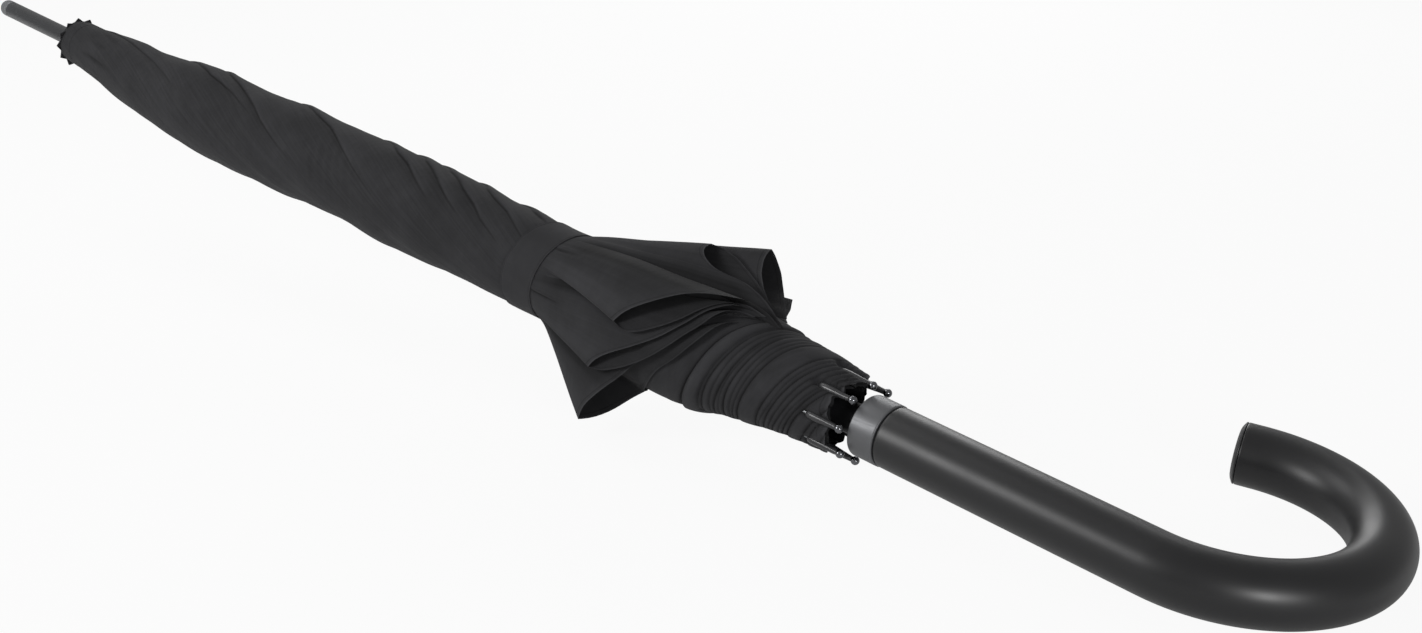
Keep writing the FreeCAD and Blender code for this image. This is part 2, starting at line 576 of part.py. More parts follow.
def build():
    """Every node's shape by name, laid down, with the origin under the middle of the whole."""
    nodes = {
        "crook_handle": make_handle(),
        "handle_end_cap": make_end_cap(),
        "handle_collar": make_collar(),
        "release_button": make_button(),
        "button_spring": make_button_spring(),
        "shaft_tube": make_shaft(),
        "crown": make_crown(),
        "crown_wire": pivot_wire(CROWN_PLACE),
        "runner": make_runner(),
        "runner_wire": pivot_wire(RUNNER_PLACE),
        "opening_spring": make_opening_spring(),
        "ferrule_sleeve": make_ferrule(),
        "ferrule_cap": make_ferrule_cap(),
        "rosette": make_rosette(),
        "canopy_top": make_canopy_top(),
        "closure_strap": make_strap(),
        "strap_snap": make_snap(RIB_AZIMUTHS[6]),
    }
    rib, rivet = make_rib()
    tip = make_tip()
    stretcher = make_stretcher()
    for number, azimuth in enumerate(RIB_AZIMUTHS, start=1):
        rib_here = [on_arm(piece, CROWN_PLACE, PIVOT_RADIUS, SPLAY, azimuth) for piece in (rib, rivet)]
        nodes[f"rib_{number}"] = Part.makeCompound(rib_here)
        nodes[f"rib_tip_{number}"] = on_arm(tip, CROWN_PLACE, PIVOT_RADIUS, SPLAY, azimuth)
        nodes[f"stretcher_{number}"] = on_arm(stretcher, ELBOW_PLACE, ELBOW_RADIUS, -ELBOW_ANGLE, azimuth)
        nodes[f"gore_{number}"] = make_gore(PETALS[number - 1], azimuth)

    nodes = {name: lay_down(shape) for name, shape in nodes.items()}
    floor = Part.makeBox(4 * RIB_LENGTH, RIB_LENGTH, ROLL_RADIUS,
                         V(-2 * RIB_LENGTH, -RIB_LENGTH / 2, -ROLL_RADIUS))
    for name in nodes:
        if name.startswith("gore_") and nodes[name].BoundBox.ZMin < 0:
            nodes[name] = nodes[name].cut(floor)
    box = Part.makeCompound(list(nodes.values())).optimalBoundingBox(False, False)
    shift = V(-(box.XMin + box.XMax) / 2, -(box.YMin + box.YMax) / 2, -box.ZMin)
    for shape in nodes.values():
        shape.translate(shift)
    return nodes, shift


NODES, SHIFT = build()
os.makedirs("parts", exist_ok=True)
for node, node_shape in NODES.items():
    node_shape.exportStep(f"parts/{node}.step")
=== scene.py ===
"""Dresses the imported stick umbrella: furled canopy, crook handle, collar, ferrule, metal frame and studio."""

import json
import math

import bmesh
import bpy
import numpy as np
from mathutils import Matrix, Vector


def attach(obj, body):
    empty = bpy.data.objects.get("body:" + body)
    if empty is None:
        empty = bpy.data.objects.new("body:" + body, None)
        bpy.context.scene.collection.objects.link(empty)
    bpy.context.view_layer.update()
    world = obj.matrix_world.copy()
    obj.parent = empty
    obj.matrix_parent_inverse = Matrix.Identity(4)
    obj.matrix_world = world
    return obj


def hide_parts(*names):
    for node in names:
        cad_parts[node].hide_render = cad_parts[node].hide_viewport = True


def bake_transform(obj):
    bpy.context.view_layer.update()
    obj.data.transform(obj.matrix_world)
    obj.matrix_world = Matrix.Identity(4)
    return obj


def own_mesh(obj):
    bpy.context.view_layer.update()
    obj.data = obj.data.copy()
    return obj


bl_info = {
    "name": "Stick Umbrella",
    "version": (1, 0, 0),
    "blender": (4, 5, 0),
    "location": "View3D > Sidebar > Umbrella",
    "description": "Dresses a furled stick umbrella with a crook handle on its packed frame",
    "category": "Add Mesh",
}

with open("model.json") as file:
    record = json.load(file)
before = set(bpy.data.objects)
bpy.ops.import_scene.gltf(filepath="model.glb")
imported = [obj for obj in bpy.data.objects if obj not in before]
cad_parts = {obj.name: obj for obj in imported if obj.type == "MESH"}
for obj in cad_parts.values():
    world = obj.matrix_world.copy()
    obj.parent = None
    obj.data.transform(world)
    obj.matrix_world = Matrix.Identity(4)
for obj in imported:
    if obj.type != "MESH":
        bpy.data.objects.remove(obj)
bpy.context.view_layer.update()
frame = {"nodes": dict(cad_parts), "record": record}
RECORD = frame["record"]
NODES = frame["nodes"]

# ---- where the umbrella lies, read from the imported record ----
RIB_LENGTH = 584.0
CROWN_PLACE = 585.938      # crown pivots from the collar mouth, mm
PIVOT_RADIUS = 8.0
SPLAY = math.radians(0.833958)
RIB_AZIMUTHS = [36.0 + 45.0 * number for number in range(8)]
FERRULE_MOUNT = next(m for m in RECORD["mounts"] if m["name"] == "ferrule_end")
HINGES = [j for j in RECORD["behaviour"]["joints"] if j["name"].endswith("_hinge")]
ALONG = -np.array(FERRULE_MOUNT["axis"], float)
ALONG /= np.linalg.norm(ALONG)
SIDE = np.array([0.0, 1.0, 0.0])
UP = np.cross(ALONG, SIDE)
CROWN = np.mean([j["pos_m"] for j in HINGES], axis=0)
MOUTH = CROWN + ALONG * CROWN_PLACE / 1000
FRAME_BODY = "umbrella_frame"


def row_points(points):
    """Umbrella frame in mm (x towards the crook, y to the crook's side, z up) to the row frame in metres."""
    p = np.asarray(points, float) / 1000
    return MOUTH + p[..., 0:1] * ALONG + p[..., 1:2] * SIDE + p[..., 2:3] * UP


def axes_in_row(vector):
    """A direction of the umbrella frame as a direction of the row frame."""
    v = np.asarray(vector, float)
    return v[0] * ALONG + v[1] * SIDE + v[2] * UP


def round_shaft(place, azimuth, radius):
    """Points at a place from the collar mouth, an azimuth in degrees and a radius: (-s, r cos a, r sin a)."""
    angle = np.radians(azimuth)
    place, angle, radius = np.broadcast_arrays(place, angle, radius)
    return np.stack([-place, radius * np.cos(angle), radius * np.sin(angle)], axis=-1)


def turned_from(azimuth, middle):
    """Degrees from the middle azimuth, -180 to 180."""
    return (azimuth - middle + 180) % 360 - 180


def ramp(x, start, end):
    """0 at start, 1 at end, straight between them and level outside."""
    return np.clip((x - start) / (end - start), 0, 1)


def bell(x, width):
    """1 at zero and less on both sides: exp(-(x / width)^2)."""
    return np.exp(-(x / width) ** 2)


def fall(x):
    """From 1 below zero to 0 above it: 1 / (1 + e^x)."""
    return 1 / (1 + np.exp(np.clip(x, -40, 40)))


def rib_line(place):
    """Radius of a closed rib's centre line at a distance from the collar mouth."""
    return PIVOT_RADIUS + (CROWN_PLACE - place) * math.tan(SPLAY)


# ---- meshes ----
def grid_faces(rows, columns, close_rows=False, close_columns=False):
    """Quads of a rows x columns grid of points, in order, closed round either way where asked."""
    i = np.arange(rows if close_rows else rows - 1)[:, None]
    j = np.arange(columns if close_columns else columns - 1)[None, :]
    a = i * columns + j
    b = i * columns + (j + 1) % columns
    c = ((i + 1) % rows) * columns + (j + 1) % columns
    d = ((i + 1) % rows) * columns + j
    return np.stack([a, b, c, d], axis=-1).reshape(-1, 4)


def make_piece(name, points, quads, uv=None, marks=None, smooth_angle=40.0):
    """One mesh object in the row frame from umbrella-frame points, with per-point uv and float attributes."""
    points = row_points(points).reshape(-1, 3)
    mesh = bpy.data.meshes.new(name)
    mesh.vertices.add(len(points))
    mesh.vertices.foreach_set("co", points.astype(np.float32).ravel())
    mesh.loops.add(4 * len(quads))
    mesh.loops.foreach_set("vertex_index", quads.ravel().astype(np.int32))
    mesh.polygons.add(len(quads))
    mesh.polygons.foreach_set("loop_start", 4 * np.arange(len(quads), dtype=np.int32))
    mesh.update(calc_edges=True)
    mesh.validate()
    if uv is not None:
        layer = mesh.uv_layers.new(name="cloth_uv")
        corner = np.zeros(len(mesh.loops), np.int32)
        mesh.loops.foreach_get("vertex_index", corner)
        layer.data.foreach_set("uv", uv.reshape(-1, 2)[corner].astype(np.float32).ravel())
    for mark, values in (marks or {}).items():
        attribute = mesh.attributes.new(mark, "FLOAT", "POINT")
        attribute.data.foreach_set("value", values.astype(np.float32).ravel())
    mesh.polygons.foreach_set("use_smooth", np.ones(len(mesh.polygons), bool))
    mesh.set_sharp_from_angle(angle=math.radians(smooth_angle))
    piece = bpy.data.objects.new(name, mesh)
    bpy.context.scene.collection.objects.link(piece)
    return piece


def outward(points, quads):
    """The quads, turned over if the closed surface they make has a negative volume."""
    p = points.reshape(-1, 3)
    a, b, c, d = (p[quads[:, k]] for k in range(4))
    volume = np.einsum("ij,ij->i", a, np.cross(b, c)).sum() + np.einsum("ij,ij->i", a, np.cross(c, d)).sum()
    return quads if volume > 0 else quads[:, ::-1]


def rounded(profile, radius, steps=4):
    """The closed (place, radius) outline, each corner a quadratic curve that starts radius away from it."""
    profile = np.asarray(profile, float)
    before = np.roll(profile, 1, axis=0) - profile
    after = np.roll(profile, -1, axis=0) - profile
    size_b = np.linalg.norm(before, axis=1, keepdims=True)
    size_a = np.linalg.norm(after, axis=1, keepdims=True)
    start = profile + before / size_b * np.minimum(radius, 0.45 * size_b)
    end = profile + after / size_a * np.minimum(radius, 0.45 * size_a)
    t = np.linspace(0, 1, steps + 1)[None, :, None]
    curve = start[:, None] * (1 - t) ** 2 + 2 * profile[:, None] * t * (1 - t) + end[:, None] * t ** 2
    return curve.reshape(-1, 2)


def eased(stations, values, at, blur):
    """Straight runs between the stations, smoothed by a bell of width blur; all in the same unit."""
    order = np.argsort(stations)
    x = np.asarray(stations, float)[order]
    y = np.asarray(values, float)[order]
    fine = np.linspace(x[0] - 3 * blur, x[-1] + 3 * blur, 2400)
    step = fine[1] - fine[0]
    reach = max(1, int(3 * blur / step))
    weights = np.exp(-0.5 * (np.arange(-reach, reach + 1) * step / blur) ** 2)
    raw = np.interp(np.clip(fine, x[0], x[-1]), x, y)
    padded = np.concatenate([np.full(reach, raw[0]), raw, np.full(reach, raw[-1])])
    smooth = np.convolve(padded, weights / weights.sum(), mode="valid")
    return np.interp(at, fine, smooth)


def rumple(u, v, cell_u, cell_v, seed, wrap=None):
    """Smooth random waves from -1 to 1: a lattice of seeded numbers eased between its corners."""
    rng = np.random.default_rng(seed)
    lattice = rng.uniform(-1, 1, (256, 256))
    gu, gv = np.asarray(u) / cell_u, np.asarray(v) / cell_v
    iu, iv = np.floor(gu).astype(int), np.floor(gv).astype(int)
    fu, fv = gu - iu, gv - iv
    fu, fv = fu * fu * (3 - 2 * fu), fv * fv * (3 - 2 * fv)
    turn = 256 if wrap is None else int(round(wrap / cell_v))
    a = lattice[iu % 256, iv % turn]
    b = lattice[(iu + 1) % 256, iv % turn]
    c = lattice[iu % 256, (iv + 1) % turn]
    d = lattice[(iu + 1) % 256, (iv + 1) % turn]
    return (a * (1 - fu) + b * fu) * (1 - fv) + (c * (1 - fu) + d * fu) * fv


def solid_ends(piece, merge=1e-6):
    """Merges the points at a pole, closes what is open and turns the faces outwards."""
    shape = bmesh.new()
    shape.from_mesh(piece.data)
    bmesh.ops.remove_doubles(shape, verts=shape.verts, dist=merge)
    bmesh.ops.holes_fill(shape, edges=[e for e in shape.edges if e.is_boundary], sides=0)
    bmesh.ops.recalc_face_normals(shape, faces=shape.faces)
    shape.to_mesh(piece.data)
    shape.free()
    piece.data.polygons.foreach_set("use_smooth", np.ones(len(piece.data.polygons), bool))
    piece.data.set_sharp_from_angle(angle=math.radians(40))


def turned_ring(name, outline, segments):
    """Closed ring turned about the shaft: each (place, radius) of the outline is swept round in a circle."""
    angle = np.linspace(0, 360, segments, endpoint=False)[:, None]
    points = round_shaft(outline[None, :, 0], angle, outline[None, :, 1])
    return make_piece(name, points, outward(points, grid_faces(segments, len(outline), True, True)))


def turned_solid(name, profile, segments, foot, along, first, second):
    """Solid of revolution: each (height, radius) of the profile goes to
    foot + height * along + radius * (cos a * first + sin a * second), with a once round."""
    foot, along, first, second = (np.array(vector, float) for vector in (foot, along, first, second))
    height, radius = (np.array(profile, float)[None, :, column:column + 1] for column in (0, 1))
    a = np.radians(np.linspace(0, 360, segments, endpoint=False))[:, None, None]
    points = foot + height * along + radius * (np.cos(a) * first + np.sin(a) * second)
    piece = make_piece(name, points, grid_faces(segments, len(profile), True, False))
    solid_ends(piece)
    return piece


def cloth_uv(azimuth, place, radius_mm):
    """uv in metres: round the shaft at the cloth's radius, and along it."""
    return np.stack(np.broadcast_arrays(np.radians(azimuth) * radius_mm / 1000, place / 1000), axis=-1)


def cloth_band(name, place, azimuth, outer, inner, radius_mm, marks=None, smooth_angle=60.0):
    """Closed band round the shaft: its outer and inner face are grids of (place, azimuth, radius)."""
    points = np.concatenate([round_shaft(place, azimuth, outer), round_shaft(place, azimuth, inner)[::-1]])
    quads = outward(points, grid_faces(*points.shape[:2], True, True))
    uv = cloth_uv(azimuth, place + 0.0 * azimuth, radius_mm)
    both = {mark: np.concatenate([values, values[::-1]]) for mark, values in (marks or {}).items()}
    uv = np.concatenate([uv, uv[::-1]])
    return make_piece(name, points, quads, uv=uv, marks=both, smooth_angle=smooth_angle)


# ---- sizes that the pieces share, mm ----
STRAP_PLACE = 188.0        # middle of the strap from the collar mouth
CREASE_DEPTH = 1.7         # drop at the edge of each wound panel
GRIP_DIAMETER = 26.1
BEND_RADIUS = 56.5         # centre line of the crook


# ---- settings ----
class CanopySettings(bpy.types.PropertyGroup):
    cloth_colour: bpy.props.StringProperty(
        name="Cloth colour", description="Colour of the woven polyester, sRGB hex", default="#333335")
    crease_depth: bpy.props.FloatProperty(
        name="Crease depth", description="Drop at the edge of each wound panel, in mm",
        default=CREASE_DEPTH, min=0, max=4)
    thread_spacing: bpy.props.FloatProperty(
        name="Thread spacing", description="Drawn spacing of the weave's bands, in mm", default=4.4, min=0.2)
    strap_place: bpy.props.FloatProperty(
        name="Strap place", description="Middle of the strap from the collar mouth, in mm",
        default=STRAP_PLACE)
    strap_width: bpy.props.FloatProperty(
        name="Strap width", description="Width of the closure strap, in mm", default=20.0, min=5)


class HandleSettings(bpy.types.PropertyGroup):
    grip_colour: bpy.props.StringProperty(
        name="Grip colour", description="Colour of the soft-touch grip, sRGB hex", default="#131315")
    grip_diameter: bpy.props.FloatProperty(
        name="Grip diameter", description="Diameter of the crook's tube, in mm",
        default=GRIP_DIAMETER, min=10)
    bend_radius: bpy.props.FloatProperty(
        name="Bend radius", description="Radius of the crook's centre line, in mm",
        default=BEND_RADIUS, min=20)
    collar_colour: bpy.props.StringProperty(
        name="Collar colour", description="Colour of the satin collar, sRGB hex", default="#6f7072")


class MetalSettings(bpy.types.PropertyGroup):
    ferrule_colour: bpy.props.StringProperty(
        name="Ferrule colour", description="Colour of the painted ferrule tube, sRGB hex", default="#4b4c4e")
    steel_colour: bpy.props.StringProperty(
        name="Steel colour", description="Colour of the bare steel, sRGB hex", default="#b9bbbd")
    gunmetal_colour: bpy.props.StringProperty(
        name="Gunmetal colour", description="Colour of the tips' balls and the snap, sRGB hex",
        default="#77787b")


# ---- materials ----
def linear(colour):
    """sRGB hex to linear RGBA."""
    c = np.array([int(colour[i:i + 2], 16) / 255 for i in (1, 3, 5)])
    c = np.where(c <= 0.04045, c / 12.92, ((c + 0.055) / 1.055) ** 2.4)
    return (*c, 1.0)


def shade(colour, factor):
    """A linear RGBA made lighter or darker by a factor."""
    return (*[min(1.0, x * factor) for x in linear(colour)[:3]], 1.0)


def feed(owner, made, inputs):
    """Sets or links a node's inputs: a value, a node's output, or a node for its first output in use."""
    for key, value in inputs.items():
        if isinstance(value, bpy.types.Node):
            value = next(output for output in value.outputs if output.enabled)
        if isinstance(value, bpy.types.NodeSocket):
            owner.node_tree.links.new(value, made.inputs[key])
        else:
            made.inputs[key].default_value = value


def node(owner, kind, inputs=None, **settings):
    """Adds a node with its settings and inputs to a material or a world."""
    made = owner.node_tree.nodes.new(kind)
    for key, value in settings.items():
        setattr(made, key, value)
    feed(owner, made, inputs or {})
    return made


def new_material(name, **shader):
    """A Principled material with constant values set on the shader's own sockets."""
    material = bpy.data.materials.new(name)
    material.use_nodes = True
    bsdf = material.node_tree.nodes["Principled BSDF"]
    feed(material, bsdf, {key.replace("_", " "): value for key, value in shader.items()})
    return material, bsdf


def per_metre(size_mm):
    """Scale of a pattern whose features have this size: coordinates are in metres."""
    return 1000 / size_mm


# a wave texture of scale 1 repeats every 314.16 mm
WAVE_MM = 314.16


def woven_cloth(name, colour, spacing_mm, folded=False):
    """Plain-woven polyester: matt, a soft sheen at grazing angles, threads over and under, faint slubs.
    Folded cloth also has a stitched hem and, following its attributes, painted shade in its creases and painted
    light on its raised cloth and hem's edge; its inside has painted shade."""
    material, bsdf = new_material(name, Roughness=0.86, Specular_IOR_Level=0.16, Sheen_Weight=0.05,
                                  Sheen_Roughness=0.5)
    uv = node(material, "ShaderNodeUVMap", uv_map="cloth_uv")
    # the real threads are about 0.25 mm apart and too fine to show: the bands that show are drawn instead
    bands = {"Vector": uv, "Scale": WAVE_MM / spacing_mm, "Distortion": 0.6, "Detail": 1.0,
             "Detail Scale": 2.0}
    over, under = (node(material, "ShaderNodeTexWave", bands, wave_type="BANDS", bands_direction=axis,
                        wave_profile="SIN").outputs["Fac"] for axis in "XY")
    height = node(material, "ShaderNodeMath", {0: over, 1: under}, operation="MULTIPLY")
    # slubs about 17 mm long in clouds about 30 mm across
    slub = node(material, "ShaderNodeTexNoise", {"Vector": uv, "Scale": per_metre(16.7), "Detail": 6.0,
                                                 "Roughness": 0.65})
    place = node(material, "ShaderNodeTexCoord").outputs["Object"]
    cloud = node(material, "ShaderNodeTexNoise", {"Vector": place, "Scale": per_metre(29.4), "Detail": 3.0})
    tone = node(material, "ShaderNodeMath", {0: slub, 1: cloud}, operation="MULTIPLY")
    tone = node(material, "ShaderNodeMapRange", {"Value": tone, "From Min": 0.12, "From Max": 0.42})
    base = node(material, "ShaderNodeMix", {"Factor": tone, "A": shade(colour, 0.8), "B": shade(colour, 1.2)},
                data_type="RGBA")
    if folded:
        edge = node(material, "ShaderNodeAttribute", attribute_name="hem_mm").outputs["Fac"]
        # the stitched line 2.4 mm inside the hem is dark and pressed in
        near = node(material, "ShaderNodeMapRange", {"Value": edge, "From Min": 2.0, "From Max": 2.4})
        far = node(material, "ShaderNodeMapRange", {"Value": edge, "From Min": 2.4, "From Max": 2.8,
                                                    "To Min": 1.0, "To Max": 0.0})
        seam = node(material, "ShaderNodeMath", {0: near, 1: far}, operation="MULTIPLY")
        height = node(material, "ShaderNodeMath", {0: seam, 1: -6.0, 2: height}, operation="MULTIPLY_ADD")
        # painted highlight: the folded edge of the hem is coloured lighter
        rim = node(material, "ShaderNodeMapRange", {"Value": edge, "From Min": 0.5, "From Max": 1.1,
                                                    "To Min": 0.45, "To Max": 0.0})
        # fine creases run along the folds, about 3 mm apart: the same noise presses them in as bumps and adds
        # painted shade and light along them
        painted_shading, streak = (node(material, "ShaderNodeAttribute", attribute_name=mark).outputs["Fac"]
                          for mark in ("painted_shading", "streak_mm"))
        across = node(material, "ShaderNodeSeparateXYZ", {"Vector": uv}).outputs["X"]
        across = node(material, "ShaderNodeMath", {0: across, 1: per_metre(14.3)}, operation="MULTIPLY")
        streak = node(material, "ShaderNodeMath", {0: streak, 1: 0.3}, operation="MULTIPLY")
        way = node(material, "ShaderNodeCombineXYZ", {"X": streak, "Y": across})
        fine = node(material, "ShaderNodeTexNoise", {"Vector": way, "Scale": 1.0, "Detail": 3.0,
                                                     "Roughness": 0.6})
        height = node(material, "ShaderNodeMath", {0: fine, 1: 2.5, 2: height}, operation="MULTIPLY_ADD")
        marks = node(material, "ShaderNodeMapRange", {"Value": fine, "From Min": 0.3, "From Max": 0.7,
                                                      "To Min": 0.16, "To Max": -0.16})
        total = node(material, "ShaderNodeMath", {0: painted_shading, 1: marks}, operation="ADD")
        # painted shade: the deeper the crease, the darker the colour; painted light: raised cloth is coloured
        # lighter
        deep = node(material, "ShaderNodeMapRange", {"Value": total, "From Max": 1.0, "To Max": 0.93})
        lit = node(material, "ShaderNodeMapRange", {"Value": total, "From Max": -1.0, "To Max": 0.8})
        # painted shade: the inside is coloured darker, as if in the shade of the flared hems
        inner = node(material, "ShaderNodeNewGeometry").outputs["Backfacing"]
        inner = node(material, "ShaderNodeMath", {0: inner, 1: 0.35}, operation="MULTIPLY")
        for share, tint in ((seam, 0.5), (rim, 2.2), (deep, 0.06), (lit, 2.2), (inner, 0.2)):
            base = node(material, "ShaderNodeMix", {"Factor": share, "A": base, "B": shade(colour, tint)},
                        data_type="RGBA")
    bump = node(material, "ShaderNodeBump", {"Height": height, "Strength": 0.16, "Distance": 0.0002})
    feed(material, bsdf, {"Base Color": base, "Normal": bump})
    return material


def worn_surface(material, bsdf, patches, gloss, relief, tints, roughness, strength, bump_mm):
    """Patches lead the colour from tint to tint, gloss the roughness, and relief the bump."""
    base = node(material, "ShaderNodeMix", {"Factor": patches, "A": tints[0], "B": tints[1]},
                data_type="RGBA")
    rough = node(material, "ShaderNodeMapRange", {"Value": gloss, "From Min": 0.3, "From Max": 0.7,
                                                  "To Min": roughness[0], "To Max": roughness[1]})
    bump = node(material, "ShaderNodeBump", {"Height": relief, "Strength": strength,
                                             "Distance": bump_mm / 1000})
    feed(material, bsdf, {"Base Color": base, "Roughness": rough, "Normal": bump})
    return material


def moulded_plastic(name, colour, roughness, grain_mm=0.385, bump_mm=0.01, coat=0.0):
    """Moulded or coated plastic: fine spark-eroded grain, slight gloss changes from handling 22 mm across."""
    material, bsdf = new_material(name, Coat_Weight=coat, Coat_Roughness=0.35)
    place = node(material, "ShaderNodeTexCoord").outputs["Object"]
    fine, broad = (node(material, "ShaderNodeTexNoise",
                        {"Vector": place, "Scale": per_metre(size), "Detail": detail})
                   for size, detail in ((grain_mm, 2.0), (22.2, 4.0)))
    return worn_surface(material, bsdf, broad, broad, fine, (shade(colour, 0.88), shade(colour, 1.12)),
                        (roughness - 0.03, roughness + 0.04), 0.35, bump_mm)


def worked_metal(name, colour, roughness, line_mm=55.6, width_mm=0.667, metallic=1.0, bump_mm=0.004):
    """Drawn, brushed or turned metal: fine lines of one size along the shaft, small gloss changes."""
    material, bsdf = new_material(name, Metallic=metallic)
    place = node(material, "ShaderNodeTexCoord").outputs["Object"]
    scale = (per_metre(line_mm), per_metre(width_mm), per_metre(width_mm))
    spin = node(material, "ShaderNodeMapping", {"Vector": place, "Scale": scale,
                                                "Rotation": (0.0, -math.atan2(ALONG[2], ALONG[0]), 0.0)})
    lines = node(material, "ShaderNodeTexNoise", {"Vector": spin, "Scale": 1.0, "Detail": 3.0})
    broad = node(material, "ShaderNodeTexNoise", {"Vector": place, "Scale": per_metre(16.7), "Detail": 4.0})
    return worn_surface(material, bsdf, broad, lines, lines, (shade(colour, 0.86), shade(colour, 1.1)),
                        (roughness - 0.05, roughness + 0.06), 0.3, bump_mm)


MATERIALS = {}


def finish_materials():
    """Every finish of the umbrella, made once."""
    if MATERIALS:
        return MATERIALS
    scene = bpy.context.scene
    canopy, handle, metal = scene.umbrella_canopy, scene.umbrella_handle, scene.umbrella_metal
    # pongee polyester: matt charcoal, with painted shade in its folds and on its inside
    MATERIALS["cloth"] = woven_cloth("canopy_polyester_plain_weave", canopy.cloth_colour,
                                     canopy.thread_spacing, True)
    # the same cloth folded double, so its threads look coarser
    MATERIALS["strap"] = woven_cloth("strap_polyester_weave", "#373739", 5.65)
    # ABS under a rubbery coat: near black, with broad soft highlights
    MATERIALS["grip"] = moulded_plastic("grip_abs_soft_touch_coated", handle.grip_colour, 0.42, 0.556, 0.012,
                                        0.3)
    # anodised aluminium: the dye takes part of the metal's shine away
    MATERIALS["collar"] = worked_metal("collar_satin_anodised_aluminium", handle.collar_colour, 0.42,
                                       metallic=0.55)
    # acetal and nylon straight from the mould: black, the tips glossier from handling
    MATERIALS["black_plastic"] = moulded_plastic("runner_acetal_moulded", "#1f1f21", 0.38)
    MATERIALS["tip_plastic"] = moulded_plastic("tip_cup_nylon_moulded", "#3a3a3c", 0.28)
    # steel under thin satin paint: part of the metal shines through
    MATERIALS["ferrule"] = worked_metal("ferrule_steel_satin_paint", metal.ferrule_colour, 0.3, metallic=0.5)
    MATERIALS["cap"] = moulded_plastic("ferrule_cap_moulded_grey", "#747577", 0.4)
    # tumbled and plated balls: dark and mirror-like
    MATERIALS["gunmetal"] = worked_metal("tip_ball_polished_gunmetal", metal.gunmetal_colour, 0.14, 3.33,
                                         3.33)
    # chromed tube, zinc-plated channels and drawn wire: bright, satin and faintly lined
    MATERIALS["shaft"] = worked_metal("shaft_steel_chromed", metal.steel_colour, 0.18, 83.3, 1.11)
    MATERIALS["rib"] = worked_metal("rib_steel_zinc_plated", "#8d8f91", 0.36, 50.0, 0.833)
    MATERIALS["spring"] = worked_metal("spring_steel_drawn_wire", "#a4a5a7", 0.28, 2.5, 2.5)
    return MATERIALS


def paint(piece, finish):
    """Gives the piece one material."""
    piece.data.materials.clear()
    piece.data.materials.append(finish_materials()[finish])


def dress(piece, finish, body, cad_node=None):
    """Paints the piece, lets it ride on a body and, where it stands for a CAD node, replaces that."""
    paint(piece, finish)
    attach(piece, body)
    if cad_node:
        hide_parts(cad_node)


# ---- canopy ----
# outside of the furled cloth: place from the collar mouth, radius on the upper and on the lower outline, mm
ROLL_UPPER_AZIMUTH, ROLL_LOWER_AZIMUTH = 58.0, 238.0
ROLL = ((600, 12.6, 12.0), (585, 12.8, 12.8), (571, 13.5, 14.4), (556, 14.6, 16.0), (541, 15.4, 18.4),
        (521, 15.2, 20.8), (501, 17.1, 22.0), (481, 19.2, 24.0), (461, 20.8, 25.1), (441, 20.2, 25.1),
        (421, 20.1, 25.4), (401, 21.6, 24.4), (381, 22.5, 24.2), (361, 22.0, 22.8), (331, 22.8, 22.4),
        (301, 23.3, 23.6), (271, 22.8, 22.6), (251, 23.2, 22.0), (231, 22.4, 21.4), (211, 22.8, 21.0),
        (199, 22.0, 21.4), (188, 21.4, 20.9), (176, 21.6, 21.0), (162, 23.2, 23.0), (150, 24.0, 25.0),
        (130, 25.6, 27.0), (110, 26.4, 27.8), (95, 27.0, 27.7), (82, 26.5, 25.4), (71, 25.4, 23.4),
        (61, 24.0, 21.8), (46, 21.9, 19.9), (31, 21.1, 17.9), (20, 20.0, 17.4), (8, 18.0, 16.6))
# free edge of each wound panel as (place, azimuth) points, from the ferrule end to the strap
PANEL_EDGES = (
    (((562, 74), (547, 89), (525, 105), (500, 124), (470, 146)), 0.95),
    (((489, 62), (474, 86), (457, 101), (447, 106), (431, 115), (416, 126), (405, 134)), 0.5),
    (((458, 64), (450, 80), (432, 96), (421, 107), (405, 123), (393, 137), (382, 147), (366, 162)), 0.45),
    (((390, 64), (383, 74), (372, 84), (353, 98), (332, 122), (317, 138), (300, 154)), 0.45),
    (((318, 66), (310, 80), (302, 91), (290, 101), (277, 117), (265, 130)), 0.35),
    (((293, 66), (286, 80), (276, 91), (263, 108), (251, 123), (243, 131)), 0.35),
    (((275, 64), (269, 77), (260, 86), (248, 101), (235, 114), (225, 128), (212, 140)), 0.4),
    (((248, 64), (241, 79), (231, 90), (217, 102), (206, 115), (197, 126)), 0.4),
    (((217, 62), (210, 74), (203, 80), (194, 88)), 0.4),
    (((520, 262), (470, 300), (420, 345)), 0.5),
    (((440, 262), (390, 306), (330, 360)), 0.4),
    (((370, 266), (320, 316), (270, 366)), 0.4),
    (((290, 262), (250, 300), (215, 340)), 0.4),
)
# soft hollows near the crown: from (place, azimuth) to (place, azimuth), depth in mm
HOLLOWS = (((574, 164), (533, 172), 0.75), ((566, 134), (546, 139), 0.5), ((568, 100), (530, 128), 0.35),
           ((575, 200), (545, 214), 0.5), ((572, 300), (538, 318), 0.6))
